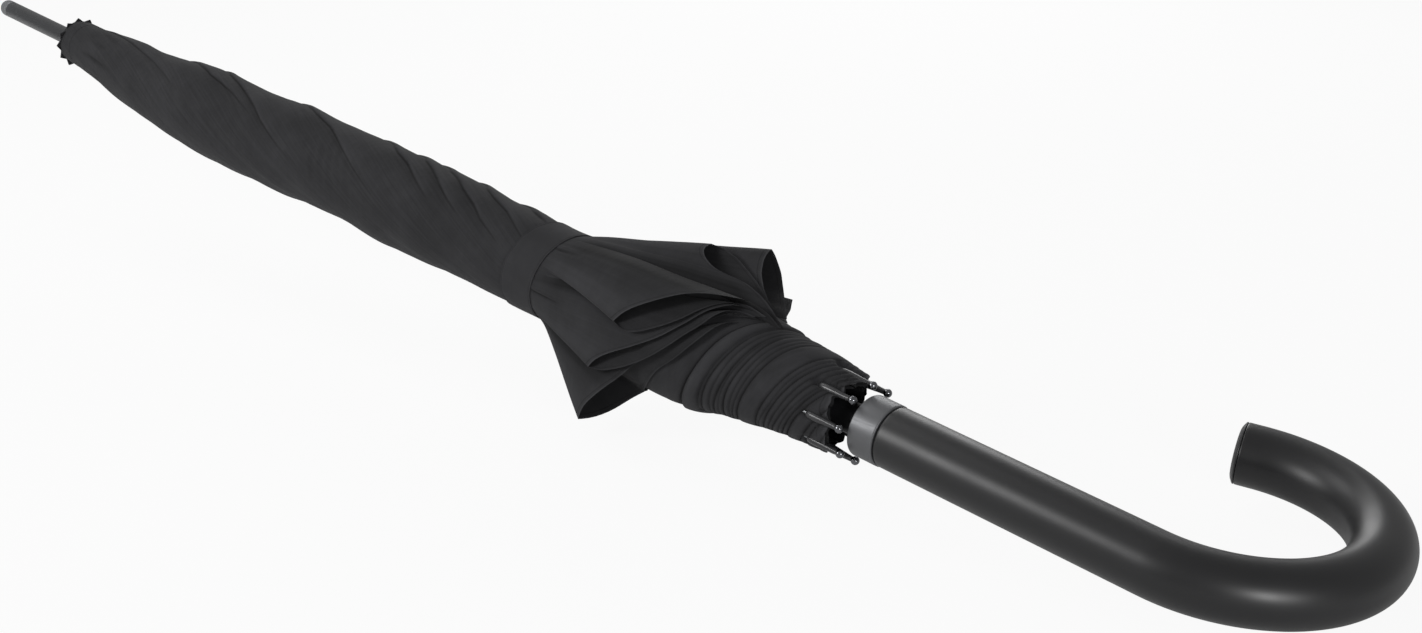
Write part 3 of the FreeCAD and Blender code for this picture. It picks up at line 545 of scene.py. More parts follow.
# fold lines stacked round the hem: place on the lower outline, how far the line runs towards the crook
# per degree round to the upper outline (mm), how deep its crease is and how round the fold after it is
HEM_FOLDS = ((97, 0.205, 0, 0.2), (88.5, 0.2, 1, 1.7), (79.8, 0.18, 0.5, 0.5), (77.4, 0.17, 0.9, 0.8),
             (73.6, 0.164, 0.55, 0.6), (70.8, 0.158, 0.95, 0.7), (68.6, 0.15, 0.5, 0.6),
             (65.8, 0.143, 1, 0.8), (62.8, 0.146, 0.6, 0.6), (60.9, 0.15, 0.7, 0.6), (58.9, 0.154, 1, 0.5),
             (50, 0.176, 0.9, 0.8), (47.8, 0.18, 0.6, 0.6), (45.7, 0.184, 0.9, 0.8), (43, 0.188, 0.7, 0.7),
             (41, 0.192, 0.8, 0.7), (38.2, 0.195, 0.6, 0.7), (36.2, 0.197, 0.9, 0.7), (34, 0.2, 1, 0.6),
             (26.2, 0.2, 0.9, 0.8), (22.8, 0.195, 0.7, 0.7), (17, 0.19, 0.6, 0.7), (8, 0.18, 0.6, 0.6),
             (-4, 0.16, 0.5, 0.5), (-16, 0.15, 0.5, 0.5))
# where the gathered hem ends, as (azimuth, place from the collar mouth): it hangs lower over the near tips
HEM_END = ((0, 16), (20, 18), (40, 14), (60, 9.4), (80, 3.5), (100, 5.4), (124, 9), (150, 9), (175, 8),
           (200, 9), (225, 8.5), (238, 13), (255, 16), (275, 17.5), (290, 17.5), (320, 16), (345, 16),
           (360, 16))

EDGE_SCALE = 0.36          # degrees round the roll to mm, at a panel's edge
HOLLOW_SCALE = 0.25        # degrees to mm near the crown, where the roll is thin
EDGE_REACH = 60.0          # how far a panel's edge is carried on past its ends
# ripples of the wound cloth: height, length along the shaft, width round it in degrees, seed and whether they
# wind on with the panels
RIPPLES = ((0.42, 80.0, 22.5, 3, True), (0.10, 34.0, 7.5, 4, True), (0.40, 24.0, 36.0, 5, False))
# small wrinkles across the roll: middle place, half length, middle azimuth, half width, height, spacing
CROSS_WRINKLES = (336.0, 20.0, 150.0, 24.0, 0.17, 7.0)


def body_radius(place, azimuth):
    """Radius of the furled cloth without its folds: upper and lower outline joined by a cosine."""
    stations, upper_line, lower_line = zip(*ROLL)
    upper = eased(stations, upper_line, place, 5.0)
    lower = eased(stations, lower_line, place, 5.0)
    return (upper + lower) / 2 + (lower - upper) / 2 * np.cos(np.radians(azimuth - ROLL_LOWER_AZIMUTH))


def panel_steps(place, azimuth, depth):
    """Raised panels: height grows towards each free edge and drops over it by depth. The second result is
    painted light and shade: above 0 a painted shadow past the edge, below 0 painted light on the raised cloth
    before it."""
    shape = np.broadcast(place, azimuth).shape
    height, shadow, lit = np.zeros(shape), np.zeros(shape), np.zeros(shape)
    for edge, ends in PANEL_EDGES:
        first, last = edge[0], edge[-1]
        line = np.array([(last[0] - EDGE_REACH, last[1] + EDGE_REACH), *edge[::-1],
                         (first[0] + EDGE_REACH, first[1] - EDGE_REACH)], float)
        away = turned_from(azimuth, np.interp(place, line[:, 0], line[:, 1])) * EDGE_SCALE
        # the edge comes out of the cloth over a stretch at each end
        strength = ramp(place, last[0] - 4, last[0] + (first[0] - last[0]) * ends)
        strength = strength * ramp(place, first[0] + 34, first[0] + 8)
        over = fall(away / 0.4)
        before, after = np.minimum(away, 0), np.maximum(away, 0)
        rise = 0.62 * np.exp(before / 7.0) * over
        groove = 0.40 * np.exp(-after / 1.5) * (1 - over)
        height += strength * depth * (rise - groove)
        # painted shadow along each edge and past it, painted light on the raised cloth before it
        line_shade = strength ** 0.7 * bell(away - 0.5, 0.62)
        soft_shade = 0.42 * strength * np.exp(-after / 3.4) * (1 - over)
        shadow = np.maximum(shadow, np.maximum(line_shade, soft_shade))
        lit = np.maximum(lit, 0.5 * strength * np.exp(before / 4.0) * over)
    for (place_a, azimuth_a), (place_b, azimuth_b), deep in HOLLOWS:
        share = ramp(place, place_a, place_b)
        away = turned_from(azimuth, azimuth_a + (azimuth_b - azimuth_a) * share) * HOLLOW_SCALE
        hollow = deep * bell(away, 1.3) * np.sin(np.pi * share)
        height -= hollow
        # painted shade in each hollow
        shadow = np.maximum(shadow, 0.7 * hollow)
    return height, shadow - lit


def hem_folds(place, azimuth):
    """Folds stacked round the hem: round like a cord between two slanting lines, and creased at them. The
    second result is painted shade in the creases and painted light on the folds' crowns.
    """
    around = np.abs(turned_from(azimuth, ROLL_LOWER_AZIMUTH))
    place = place + 0.7 * rumple(place, azimuth, 40.0, 60.0, 11, 360.0)
    shape = np.broadcast(place, azimuth).shape
    height, painted_shading = np.zeros(shape), np.zeros(shape)
    # the folds are pulled flatter towards the upper outline
    calm = 1 - 0.55 * ramp(around, 50, 160)
    lines = [start - slant * around + 0.45 * rumple(azimuth, 0.0, 45.0, 1.0, 60 + number)
             for number, (start, slant, _, _) in enumerate(HEM_FOLDS)]
    for above, below, fold, after in zip(lines, lines[1:], HEM_FOLDS, HEM_FOLDS[1:]):
        gap = np.maximum(above - below, 0.8)
        share = np.clip((above - place) / gap, 0, 1)
        inside = (place <= above) & (place > below)
        arch = np.sqrt(np.clip(4 * share * (1 - share), 0, 1))
        crown = np.minimum(0.2 * gap, 1.15) * fold[3]
        dip = fold[2] * np.exp(-share * gap / 0.75) + after[2] * np.exp(-(1 - share) * gap / 0.5)
        height += np.where(inside, calm * (crown * arch * (1 - 0.4 * share) - 0.75 * dip), 0)
        # painted shade in the creases, less towards the upper outline, and painted light on each fold's crown
        dark = (0.4 + 0.6 * calm) * np.minimum(1.15 * dip, 1)
        painted_shading += np.where(inside, dark - 0.3 * calm * arch * fold[3], 0)
    return height, painted_shading


def roll_form(place, azimuth, depth=CREASE_DEPTH):
    """Radius of the furled cloth, with outline, panel steps, folds and ripples added, and its painted shade and
    light: shade in the creases, light on the raised cloth.
    """
    wound = ramp(place, 172, 184) * ramp(place, 596, 572)
    hem = ramp(place, 104, 94)
    ripple = sum(height * rumple(place, azimuth + place if winds else azimuth, along, around, seed, 360.0)
                 for height, along, around, seed, winds in RIPPLES)
    middle, half, facing, spread, height, spacing = CROSS_WRINKLES
    cross = bell(place - middle, half) * bell(turned_from(azimuth, facing), spread)
    waver = 1.3 * rumple(place, azimuth, 20.0, 22.5, 8, 360.0)
    ripple = ripple + height * cross * np.sin(2 * np.pi * (place + 0.2 * azimuth) / spacing + waver)
    # the strap presses the cloth smooth
    banded = 1 - 0.6 * np.exp(-((place - STRAP_PLACE) / 12.0) ** 6)
    steps, step_painted_shading = panel_steps(place, azimuth, depth)
    folds, fold_painted_shading = hem_folds(place, azimuth)
    radius = body_radius(place, azimuth) + wound * banded * (steps + ripple) + hem * folds
    return radius, np.clip(wound * step_painted_shading + hem * fold_painted_shading, -1, 1)


def roll_radius(place, azimuth):
    """Outside radius of the furled cloth alone."""
    return roll_form(place, azimuth)[0]


def streak_lines(place, azimuth):
    """A distance in mm that stays the same along the folds: slanting round the hem, and wound on above it."""
    low = ramp(place, 150, 100)
    return place + low * 0.18 * np.abs(turned_from(azimuth, ROLL_LOWER_AZIMUTH)) + (1 - low) * azimuth


def strap_lean(azimuth):
    """How much nearer the ferrule the strap lies at an azimuth, mm: it was pulled on at a slight slant."""
    return -3.5 * np.cos(np.radians(azimuth - ROLL_UPPER_AZIMUTH))


PETAL_ROOT = 178.5         # the flared hems start here, at the strap's edge
# thin gathers pressed into the flared hems: share across, which is -1 at the front hem, then start and end
GATHERS = {3: ((-0.93, 0.0, 0.62), (-0.82, 0.03, 0.5)), 4: ((-0.36, 0.0, 0.22),), 5: ((-0.45, 0.0, 0.30),)}
# where each front face comes out from under the cloth above it, as a share across: painted shade is put just
# past it
COVERED = {3: -0.72, 4: -0.5, 5: -0.72, 6: -0.34}
# flared hem of each gore: azimuths of its root on the strap's edge (front end, ridge, back end), then its rim
# as (place, azimuth, radius) from the front hem's inner end to the tip and on to the back hem's inner end
PETALS = {
    1: ((56, 38, 12), ((57, 60, 24.0), (62, 50, 25.6), (66.1, 40, 31.4)), (71.7, 34, 38),
        ((75, 24, 36), (77, 12, 31), (78, 4, 27.5))),
    2: ((74, 58, 46), ((51, 84, 23.2), (60.1, 77, 26.0), (67.6, 69, 29.4), (75.3, 62, 33.1), (82.2, 57, 38.7),
                       (86, 54, 44.7), (87.2, 52, 49.3)), (88.2, 49, 51.1),
        ((87.9, 44, 50.4), (82.2, 40, 45.4), (73.8, 42, 37.2), (65, 50, 30.1), (58.3, 60, 25.5))),
    3: ((110, 72, 60), ((51, 88, 24), (56.7, 84, 27.4), (63.9, 81, 30.3), (70.8, 79, 32), (77.2, 78, 33.2),
                       (83.9, 78, 33.4), (92.3, 79, 33.7), (98.1, 79, 34.6), (104.8, 77, 36.9),
                       (108.9, 72, 39.2)), (109.2, 65, 41.4),
        ((102.9, 60, 41.4), (95.2, 60, 40), (87.5, 61, 37.3), (78.8, 64, 34.2), (68.8, 70, 30.3),
         (60.6, 77, 27.9))),
    4: ((76, 146, 160), ((50, 93, 24.4), (58.6, 90.6, 28.2), (67.9, 94.3, 31), (74.1, 102.4, 32.5),
                         (79.9, 109.5, 34), (84.9, 116.1, 35), (90.4, 123.7, 36), (96.7, 132.5, 36.5),
                         (103.7, 141.6, 36.5), (108.6, 147.6, 36.2), (113, 154, 35.2)), (116.5, 161, 33.8),
        ((109, 165.4, 32.8), (102.7, 161.1, 32.2), (95.8, 153.4, 32), (90.4, 146.4, 31.8),
         (85.3, 136.7, 31.5), (81.6, 125.5, 31), (78.2, 114.5, 30.5), (74.2, 102.7, 30), (68, 94, 28.8),
         (58.3, 92, 26.2))),
    5: ((146, 208, 226), ((57, 91, 25.0), (62.6, 92.4, 27.4), (70.4, 99.1, 29.2), (75.2, 111.9, 29.7),
                          (79.9, 125.5, 30), (84.5, 141, 30.2), (90.3, 153.8, 30.3), (95.1, 161.3, 30.4),
                          (100.5, 168.3, 30.6), (108.2, 177.6, 31), (119.4, 189.7, 32.5), (126, 198, 34.6)),
        (128.7, 205, 36.2),
        ((121, 205.4, 34.7), (109.2, 194.9, 32.4), (98.8, 182.2, 30.8), (91.5, 170.1, 30.1),
         (85.2, 157.5, 29.8), (79.1, 141.7, 29.6), (76.3, 131.8, 29.5), (73.7, 117.8, 29.3),
         (70.3, 106.3, 28.6), (62, 97, 26.0))),
    6: ((200, 238, 262), ((61, 96, 25.0), (68.1, 104.3, 27.2), (72.8, 115.7, 28.1), (76.9, 131.9, 28.4),
                          (82.6, 147.1, 28.5), (87.7, 161.6, 28.6), (94.8, 173.8, 28.8), (98.7, 181.2, 28.9),
                          (105.4, 192, 29.8), (111.5, 205, 33.4), (121, 216, 41), (130, 226.5, 47.2)),
        (137, 238, 54),
        ((133, 243, 51), (127, 248, 44), (121, 250, 36), (114, 249, 29.8), (104, 220, 28), (92.5, 187, 28),
         (84.3, 172.1, 28), (78.3, 156, 28), (73.7, 141.4, 27.9), (71.7, 126.3, 27.4), (66, 110, 25.4))),
    7: ((246, 282, 306), ((112, 246, 28.6), (122, 254, 34), (132, 262, 42), (140, 268, 48)), (146, 274, 52.2),
        ((138, 284, 46), (124, 292, 37), (112, 296, 29))),
    8: ((300, 322, 352), ((82, 290, 27), (94, 298, 32), (108, 310, 42)), (118, 320, 50),
        ((108, 332, 42), (94, 342, 33), (84, 350, 28))),
}


ABOVE_ROLL = 0.35          # a petal lies this far above the roll
FLAP_ROWS = 8              # rows of a petal under the strap
FLAP_LENGTH = 13.0         # how far they reach towards the ferrule
FLAP_SPREAD = 17.0         # degrees to each side of the panel's rib that they end on
STREAK_SPREAD = 35.0       # mm of fine creases from a petal's ridge to its side


def eased_ends(x, y, at, blur):
    """Like eased, but the two ends stay exactly where they are."""
    ends = eased(x, y, np.array([x[0], x[-1]]), blur)
    t = (at - x[0]) / (x[-1] - x[0])
    return eased(x, y, at, blur) + (y[0] - ends[0]) * (1 - t) ** 6 + (y[-1] - ends[1]) * t ** 6


def smooth_run(points, count):
    """Evenly spread points on a smooth curve through (place, azimuth, radius) points."""
    corners = round_shaft(*np.array(points, float).T)
    length = np.concatenate([[0], np.cumsum(np.linalg.norm(np.diff(corners, axis=0), axis=1))])
    fine = np.linspace(0, length[-1], count)
    part = np.array(points, float)
    blur = max(0.9, length[-1] / 34)
    return np.stack([eased_ends(length, part[:, column], fine, blur) for column in range(3)], axis=-1)


def petal_surface(number, across=41, down=64):
    """Flared hem: straight runs in (place, azimuth, radius) from the root arc to the rim, bowed outwards, after
    the rows that lie under the strap. Its last three results are painted shade and light, streaks and way to
    the hem."""
    root, front, tip, back = PETALS[number]
    rim = np.concatenate([smooth_run([*front, tip], across), smooth_run([tip, *back], across)[1:]])
    u = np.linspace(-1, 1, len(rim))[None, :]
    v = np.linspace(0, 1, down)[:, None]
    root_azimuth = root[1] + np.where(u < 0, root[0] - root[1], root[2] - root[1]) * np.abs(u)
    root_place = PETAL_ROOT + strap_lean(root_azimuth)
    root_radius = roll_radius(root_place, root_azimuth) + ABOVE_ROLL
    place = root_place + (rim[None, :, 0] - root_place) * v
    azimuth = root_azimuth + (rim[None, :, 1] - root_azimuth) * v ** 1.15
    radius = root_radius + (rim[None, :, 2] - root_radius) * v
    # both faces puff out a little between the ridge and the hems, and are never quite smooth
    puff = np.sin(np.pi * np.abs(u)) ** 2 * np.where(u < 0, 1.0, -0.8)
    radius = radius + 1.2 * puff * np.sin(np.pi * v)
    radius = radius + 0.35 * v * rumple(place, azimuth, 26.0, 15.0, 20 + number, 360.0)
    radius = radius + 0.9 * np.sin(np.pi * v) * rumple(place, azimuth, 34.0, 24.0, 30 + number, 360.0)
    # painted shade where the front face comes out from under its neighbour, and a painted highlight along its
    # ridge
    past = np.maximum(u - COVERED.get(number, -1.0), 0)
    light = 0.72 * np.exp(-past / 0.13) - 0.28 * bell(u + 0.06, 0.14)
    light = light * np.clip(v * 6, 0, 1) * np.clip((1 - v) * 8, 0.35, 1)
    for middle, first, last in GATHERS.get(number, ()):
        window = np.clip((v - first + 0.02) * 20, 0, 1) * np.clip((last - v) * 6, 0, 1)
        radius = radius + window * (0.45 * bell(u - middle + 0.06, 0.035) - 0.55 * bell(u - middle, 0.028))
        # painted shade along each gather
        light = light + 0.75 * window * bell(u - middle, 0.022)
    radius = np.maximum(radius, body_radius(place, azimuth) + ABOVE_ROLL)
    # the two side borders are tucked in under the neighbouring cloth
    radius = radius - 2.2 * ramp(np.abs(u), 0.9, 1.0) ** 2 * np.sin(np.pi * v) ** 0.5
    # under the strap the hem goes round the roll to its own panel
    w = np.linspace(1, 0, FLAP_ROWS + 1)[:-1, None]
    side = 1 if root[0] < root[2] else -1
    home = RIB_AZIMUTHS[number - 1] + side * FLAP_SPREAD * u
    home = home - 360.0 * np.round((home - root_azimuth) / 360.0)
    under_place = root_place + FLAP_LENGTH * w
    under_azimuth = root_azimuth + (home - root_azimuth) * w ** 1.3
    under_radius = roll_radius(under_place, under_azimuth) + ABOVE_ROLL - 0.3 * np.clip(w * 4, 0, 1)
    place = np.concatenate([under_place, place])
    azimuth = np.concatenate([under_azimuth, azimuth])
    radius = np.concatenate([under_radius, radius])
    light = np.concatenate([np.zeros_like(under_radius), light])
    points = round_shaft(place, azimuth, radius)
    hem = np.linalg.norm(points - points[-1:], axis=-1)
    return points, place, azimuth, light, STREAK_SPREAD * u + 0.0 * place, hem


GORE_TOP = 592.0
GORE_END = 14.0
FOLDED_TO = 106.0          # the hem's folds end here, and the rows can be wider apart
FOLD_ROW, PLAIN_ROW = 0.42, 1.2
HALF_PANEL = 22.5
SKIN_RUNS, PLEAT_RUNS = 40, 30
PLEAT_HALF = 21.5          # pleats keep this many degrees from the panel's middle
PLEAT_OUTER, PLEAT_INNER = 1.9, 1.7
CUP_RADIUS = 14.8          # cloth under a tip's cup is pressed in to here
ROLL_UV = 21.5             # radius at which a panel's weave is laid out


def make_gore(number):
    """One panel: its share of the roll's outside, pleats folded in behind it, and its flared hem."""
    middle = RIB_AZIMUTHS[number - 1]
    folded, plain = np.arange(GORE_END, FOLDED_TO, FOLD_ROW), np.arange(FOLDED_TO, GORE_TOP, PLAIN_ROW)
    places = np.concatenate([folded, plain, [GORE_TOP]])[:, None]
    spread = np.linspace(-HALF_PANEL, HALF_PANEL, SKIN_RUNS)[None, :]
    runs = np.linspace(PLEAT_HALF, -PLEAT_HALF, PLEAT_RUNS)[None, :]
    azimuths = middle + np.concatenate([spread, runs], axis=1) + 0.0 * places
    # the end of the gathered hem is uneven
    turn = azimuths[:1] % 360
    end = eased(*zip(*HEM_END), turn, 4.0) - GORE_END
    ragged = end + 1.2 * rumple(0.0, turn, 1.0, 7.5, 51, 360.0)
    all_places = places + ragged * np.exp(-(places - GORE_END) / 9.0)
    skin_places, pleat_places = all_places[:, :SKIN_RUNS], all_places[:, SKIN_RUNS:]
    depth = bpy.context.scene.umbrella_canopy.crease_depth
    radius, skin_painted_shading = roll_form(skin_places, middle + spread, depth)
    # near its end the cloth lies under the tip's cup
    under = bell(spread, 5.5) * fall((skin_places - 20.5) / 0.8)
    skin = round_shaft(skin_places, middle + spread, radius - under * np.maximum(radius - CUP_RADIUS, 0))
    # pleats run in and out behind the skin, between the rib's back and the cloth
    outer = body_radius(pleat_places, middle + runs) - PLEAT_OUTER
    inner = np.minimum(rib_line(pleat_places) + PLEAT_INNER, outer - 0.2)
    zigzag = np.where(np.arange(PLEAT_RUNS)[None, :] % 2 == 0, outer, inner)
    points = np.concatenate([skin, round_shaft(pleat_places, middle + runs, zigzag)], axis=1)
    # the skin's painted shade and light; none on the pleats
    painted_shading = np.concatenate([skin_painted_shading, np.zeros_like(zigzag)], axis=1)
    petal, place, azimuth, light, petal_streak, petal_hem = petal_surface(number)
    petal_quads = grid_faces(*petal.shape[:2]) + points.shape[0] * points.shape[1]
    if PETALS[number][0][0] > PETALS[number][0][2]:
        petal_quads = petal_quads[:, ::-1]
    quads = np.concatenate([grid_faces(*points.shape[:2])[:, ::-1], petal_quads])
    uv = [cloth_uv(azimuths, -all_places, ROLL_UV), cloth_uv(azimuth, -place, ROLL_UV)]
    marks = {"hem_mm": (np.abs(places - GORE_END) + 0.0 * azimuths, petal_hem), "painted_shading": (painted_shading, light),
             "streak_mm": (streak_lines(all_places, azimuths), petal_streak)}
    marks = {mark: np.concatenate([part.ravel() for part in both]) for mark, both in marks.items()}
    points = np.concatenate([points.reshape(-1, 3), petal.reshape(-1, 3)])
    uv = np.concatenate([part.reshape(-1, 2) for part in uv])
    gore = make_piece(f"canopy_gore_{number}", points, quads, uv=uv, marks=marks, smooth_angle=75.0)
    paint(gore, "cloth")
    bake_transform(gore)
    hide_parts(f"gore_{number}")


class UMBRELLA_OT_gores(bpy.types.Operator):
    """Builds the eight furled panels of the canopy with their flared hems"""

    bl_idname = "umbrella.gores"
    bl_label = "Canopy Panels"

    def execute(self, context):
        for number in range(1, len(RIB_AZIMUTHS) + 1):
            make_gore(number)
        return {"FINISHED"}


TOOTH_STEPS = 16           # points round one tooth of the rosette


def pinked_disc(name, place, outer, teeth, tooth, thickness, bore):
    """Cloth washer with a sawtooth edge: the radius falls by tooth between points, and the rim bends back."""
    count = teeth * TOOTH_STEPS
    angle = np.linspace(0, 360, count, endpoint=False)
    phase = (np.arange(count) % TOOTH_STEPS) / TOOTH_STEPS
    edge = outer - tooth * (1 - np.abs(2 * phase - 1) ** 1.4)
    share = np.linspace(0, 1, 12)[None, :]
    radius = bore + (edge[:, None] - bore) * share
    # the rim bends towards the cloth, and more so here and there
    wave = (0.5 * rumple(angle, 0.0, 24.0, 1.0, 41) - 1.0)[:, None] * share ** 3
    top = round_shaft(place + thickness / 2 + wave, angle[:, None], radius)
    low = round_shaft(place - thickness / 2 + wave, angle[:, None], radius)
    points = np.concatenate([top, low[:, ::-1]], axis=1)
    quads = outward(points, grid_faces(count, points.shape[1], True, True))
    return make_piece(name, points, quads, uv=points[..., 1:] / 1000, smooth_angle=30)


class UMBRELLA_OT_canopy_top(bpy.types.Operator):
    """Builds the gathered cloth over the crown and the pinked rosette under the ferrule"""

    bl_idname = "umbrella.canopy_top"
    bl_label = "Canopy Top"

    def execute(self, context):
        place = np.linspace(587.0, 597.6, 24)[:, None]
        azimuth = np.linspace(0, 360, 288, endpoint=False)[None, :]
        gather = 0.28 * rumple(place, azimuth, 16.0, 7.5, 31, 360.0)
        gather = gather + 0.3 * rumple(place, azimuth, 40.0, 15.0, 32, 360.0)
        # the roll's painted shade and light carry on over the crown
        form, painted_shading = roll_form(place, azimuth)
        outer = form + 0.1 + ramp(place, 587, 595) * (gather - 0.2)
        # the hem is far off, so no stitched line shows here
        marks = {"hem_mm": np.full(outer.shape, 50.0), "painted_shading": painted_shading,
                 "streak_mm": streak_lines(place, azimuth)}
        top = cloth_band("canopy_top_sleeve", place, azimuth, outer, outer - 0.6, 12.5, marks)
        dress(top, "cloth", FRAME_BODY, "canopy_top")
        disc = pinked_disc("rosette_pinked", place=598.1, outer=14.5, teeth=12, tooth=2.2, thickness=0.8,
                           bore=5.2)
        dress(disc, "strap", FRAME_BODY, "rosette")
        return {"FINISHED"}


SNAP_FOOT = 22.6           # the press stud's seat, from the shaft's axis
# the stud from its middle outwards, as (height above its seat, radius): domed, with a rolled rim
SNAP_PROFILE = ((2.0, 0.0), (2.0, 1.5), (1.85, 2.6), (1.55, 3.0), (1.5, 3.3), (1.8, 3.7), (1.95, 4.3),
                (1.7, 4.8), (1.1, 5.0), (0.3, 4.9), (-0.4, 4.7))
# across half the strap, as (share of its half width, height of the cloth): hem, stitches at 0.9, middle
STRAP_SECTION = ((1.0, 0.15), (0.985, 0.95), (0.96, 0.95), (0.93, 0.95), (0.9, 0.72), (0.87, 0.95),
                 (0.84, 0.95), (0.7, 0.95), (0.5, 0.95), (0.25, 0.95))


class UMBRELLA_OT_strap(bpy.types.Operator):
    """Builds the closure strap, its stitched edges and its snap"""

    bl_idname = "umbrella.strap"
    bl_label = "Closure Strap"

    def execute(self, context):
        settings = context.scene.umbrella_canopy
        seat = RIB_AZIMUTHS[6]
        near_half = [(-share, lift) for share, lift in STRAP_SECTION]
        section = np.array(near_half + [(0.0, 0.95), *STRAP_SECTION[::-1]])
        across, lift = section[:, :1], section[:, 1:]
        azimuth = np.linspace(0, 360, 360, endpoint=False)[None, :]
        place = settings.strap_place + strap_lean(azimuth) + settings.strap_width / 2 * across
        base = roll_radius(place, azimuth)
        strap = cloth_band("closure_strap_band", place, azimuth, base + 0.25 + 0.7 * lift, base + 0.15, 22.0,
                           smooth_angle=50)
        paint(strap, "strap")
        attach(strap, "rib_7")
        away = axes_in_row(round_shaft(0.0, seat, 1.0))
        anchor = row_points(round_shaft(settings.strap_place, seat, 22.4))
        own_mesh(strap)
        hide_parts("closure_strap")
        foot = round_shaft(settings.strap_place + strap_lean(seat), seat, SNAP_FOOT)
        snap = turned_solid("strap_snap_stud", SNAP_PROFILE, 48, foot, round_shaft(0.0, seat, 1.0), (1, 0, 0),
                            round_shaft(0.0, seat + 90.0, 1.0))
        dress(snap, "gunmetal", "rib_7", "strap_snap")
        return {"FINISHED"}


# ---- handle ----
HANDLE_STRAIGHT = 134.9    # collar mouth to the start of the bend
CROOK_SWEEP = math.radians(200.0)
CROOK_TAIL = 6.3           # straight stretch after the bend
GRIP_START = 12.6          # the grip's front face, against the collar
GRIP_WALL = 5.4
SOCKET_DEPTH = 38.0        # depth of the grip's bore, which takes the runner's skirt
BUTTON_PLACE = 27.0
BUTTON_TOP = 14.55         # the button's highest point, from the shaft's axis
POCKET_FLOOR = 8.9
# front end of the grip: a step, then a rounded lip, as (distance from the collar mouth, how much smaller its
# radius is)
GRIP_LIP = ((12.6, 0.9), (13.3, 0.9), (13.3, 0.35), (13.5, 0.12), (13.9, 0.02))
# its far end, as (distance before the end face, how much smaller its radius is)
GRIP_END = ((0.28, 0.08), (0.1, 0.26), (0.0, 0.55))
# crown of the end plug, as (distance past the grip's end face, how much smaller its radius is)
PLUG_CROWN = ((0.02, 0.6), (0.06, 0.28), (0.16, 0.08), (0.3, 0.0), (0.45, 0.0), (0.6, 0.08), (0.85, 0.38),
              (1.15, 0.85), (1.5, 1.5), (1.85, 2.1), (2.1, 2.9), (2.2, 3.6))
# the button's cap from its middle outwards, as (distance below its top, radius): dished, with a bevelled rim
BUTTON_CAP = ((0.35, 0.0), (0.3, 1.6), (0.12, 2.6), (0.0, 3.1), (0.05, 3.4), (0.3, 3.75), (0.7, 3.95),
              (1.0, 4.0))
# then its underside and its stem, as (distance from the shaft's axis, radius)
BUTTON_STEM = ((11.95, 4.0), (11.78, 3.9), (11.75, 1.5), (11.6, 1.4), (9.3, 1.4), (9.25, 1.2), (9.25, 0.0))


def crook_frame(distance, bend):
    """Centre and outward direction at a distance along the crook: straight, an arc, then straight again."""
    angle = np.clip((distance - HANDLE_STRAIGHT) / bend, 0, CROOK_SWEEP)
    past = np.maximum(distance - HANDLE_STRAIGHT - CROOK_SWEEP * bend, 0)
    x = np.minimum(distance, HANDLE_STRAIGHT) + bend * np.sin(angle) + past * np.cos(angle)
    y = bend - bend * np.cos(angle) + past * np.sin(angle)
    level = np.zeros_like(angle)
    return np.stack([x, y, level], axis=-1), np.stack([np.sin(angle), -np.cos(angle), level], axis=-1)


def crook_tube(name, stations, radii, bend, around=96):
    """A circle of the given radii carried along the crook's path; stations are distances along that path."""
    centre, out = crook_frame(np.asarray(stations, float), bend)
    turn = np.radians(np.linspace(0, 360, around, endpoint=False))[None, :, None]
    ring = np.cos(turn) * out[:, None, :] + np.sin(turn) * np.array([0.0, 0.0, 1.0])
    points = centre[:, None, :] + np.asarray(radii, float)[:, None, None] * ring
    piece = make_piece(name, points, grid_faces(len(stations), around, False, True))
    solid_ends(piece)
    return piece


def button_solid(name, profile):
    """Solid turned about the line on which the button moves: (distance from the shaft's axis, radius)."""
    return turned_solid(name, profile, 64, (BUTTON_PLACE, 0, 0), (0, 1, 0), (1, 0, 0), (0, 0, 1))


def cut_button_pocket(grip, radius):
    """Sinks the button's round pocket and the hole for its stem into the grip."""
    above = radius + 2
    cutter = button_solid("pocket_cutter", ((6.9, 0.0), (6.9, 1.65), (POCKET_FLOOR, 1.65),
                                            (POCKET_FLOOR, 4.15), (above, 4.15), (above, 0.0)))
    cut = grip.modifiers.new("pocket", "BOOLEAN")
    cut.object = cutter
    cut.solver = "EXACT"
    applied = bpy.data.meshes.new_from_object(grip.evaluated_get(bpy.context.evaluated_depsgraph_get()))
    grip.modifiers.clear()
    grip.data = applied
    grip.data.name = grip.name
    grip.data.set_sharp_from_angle(angle=math.radians(40))
    bpy.data.objects.remove(cutter)


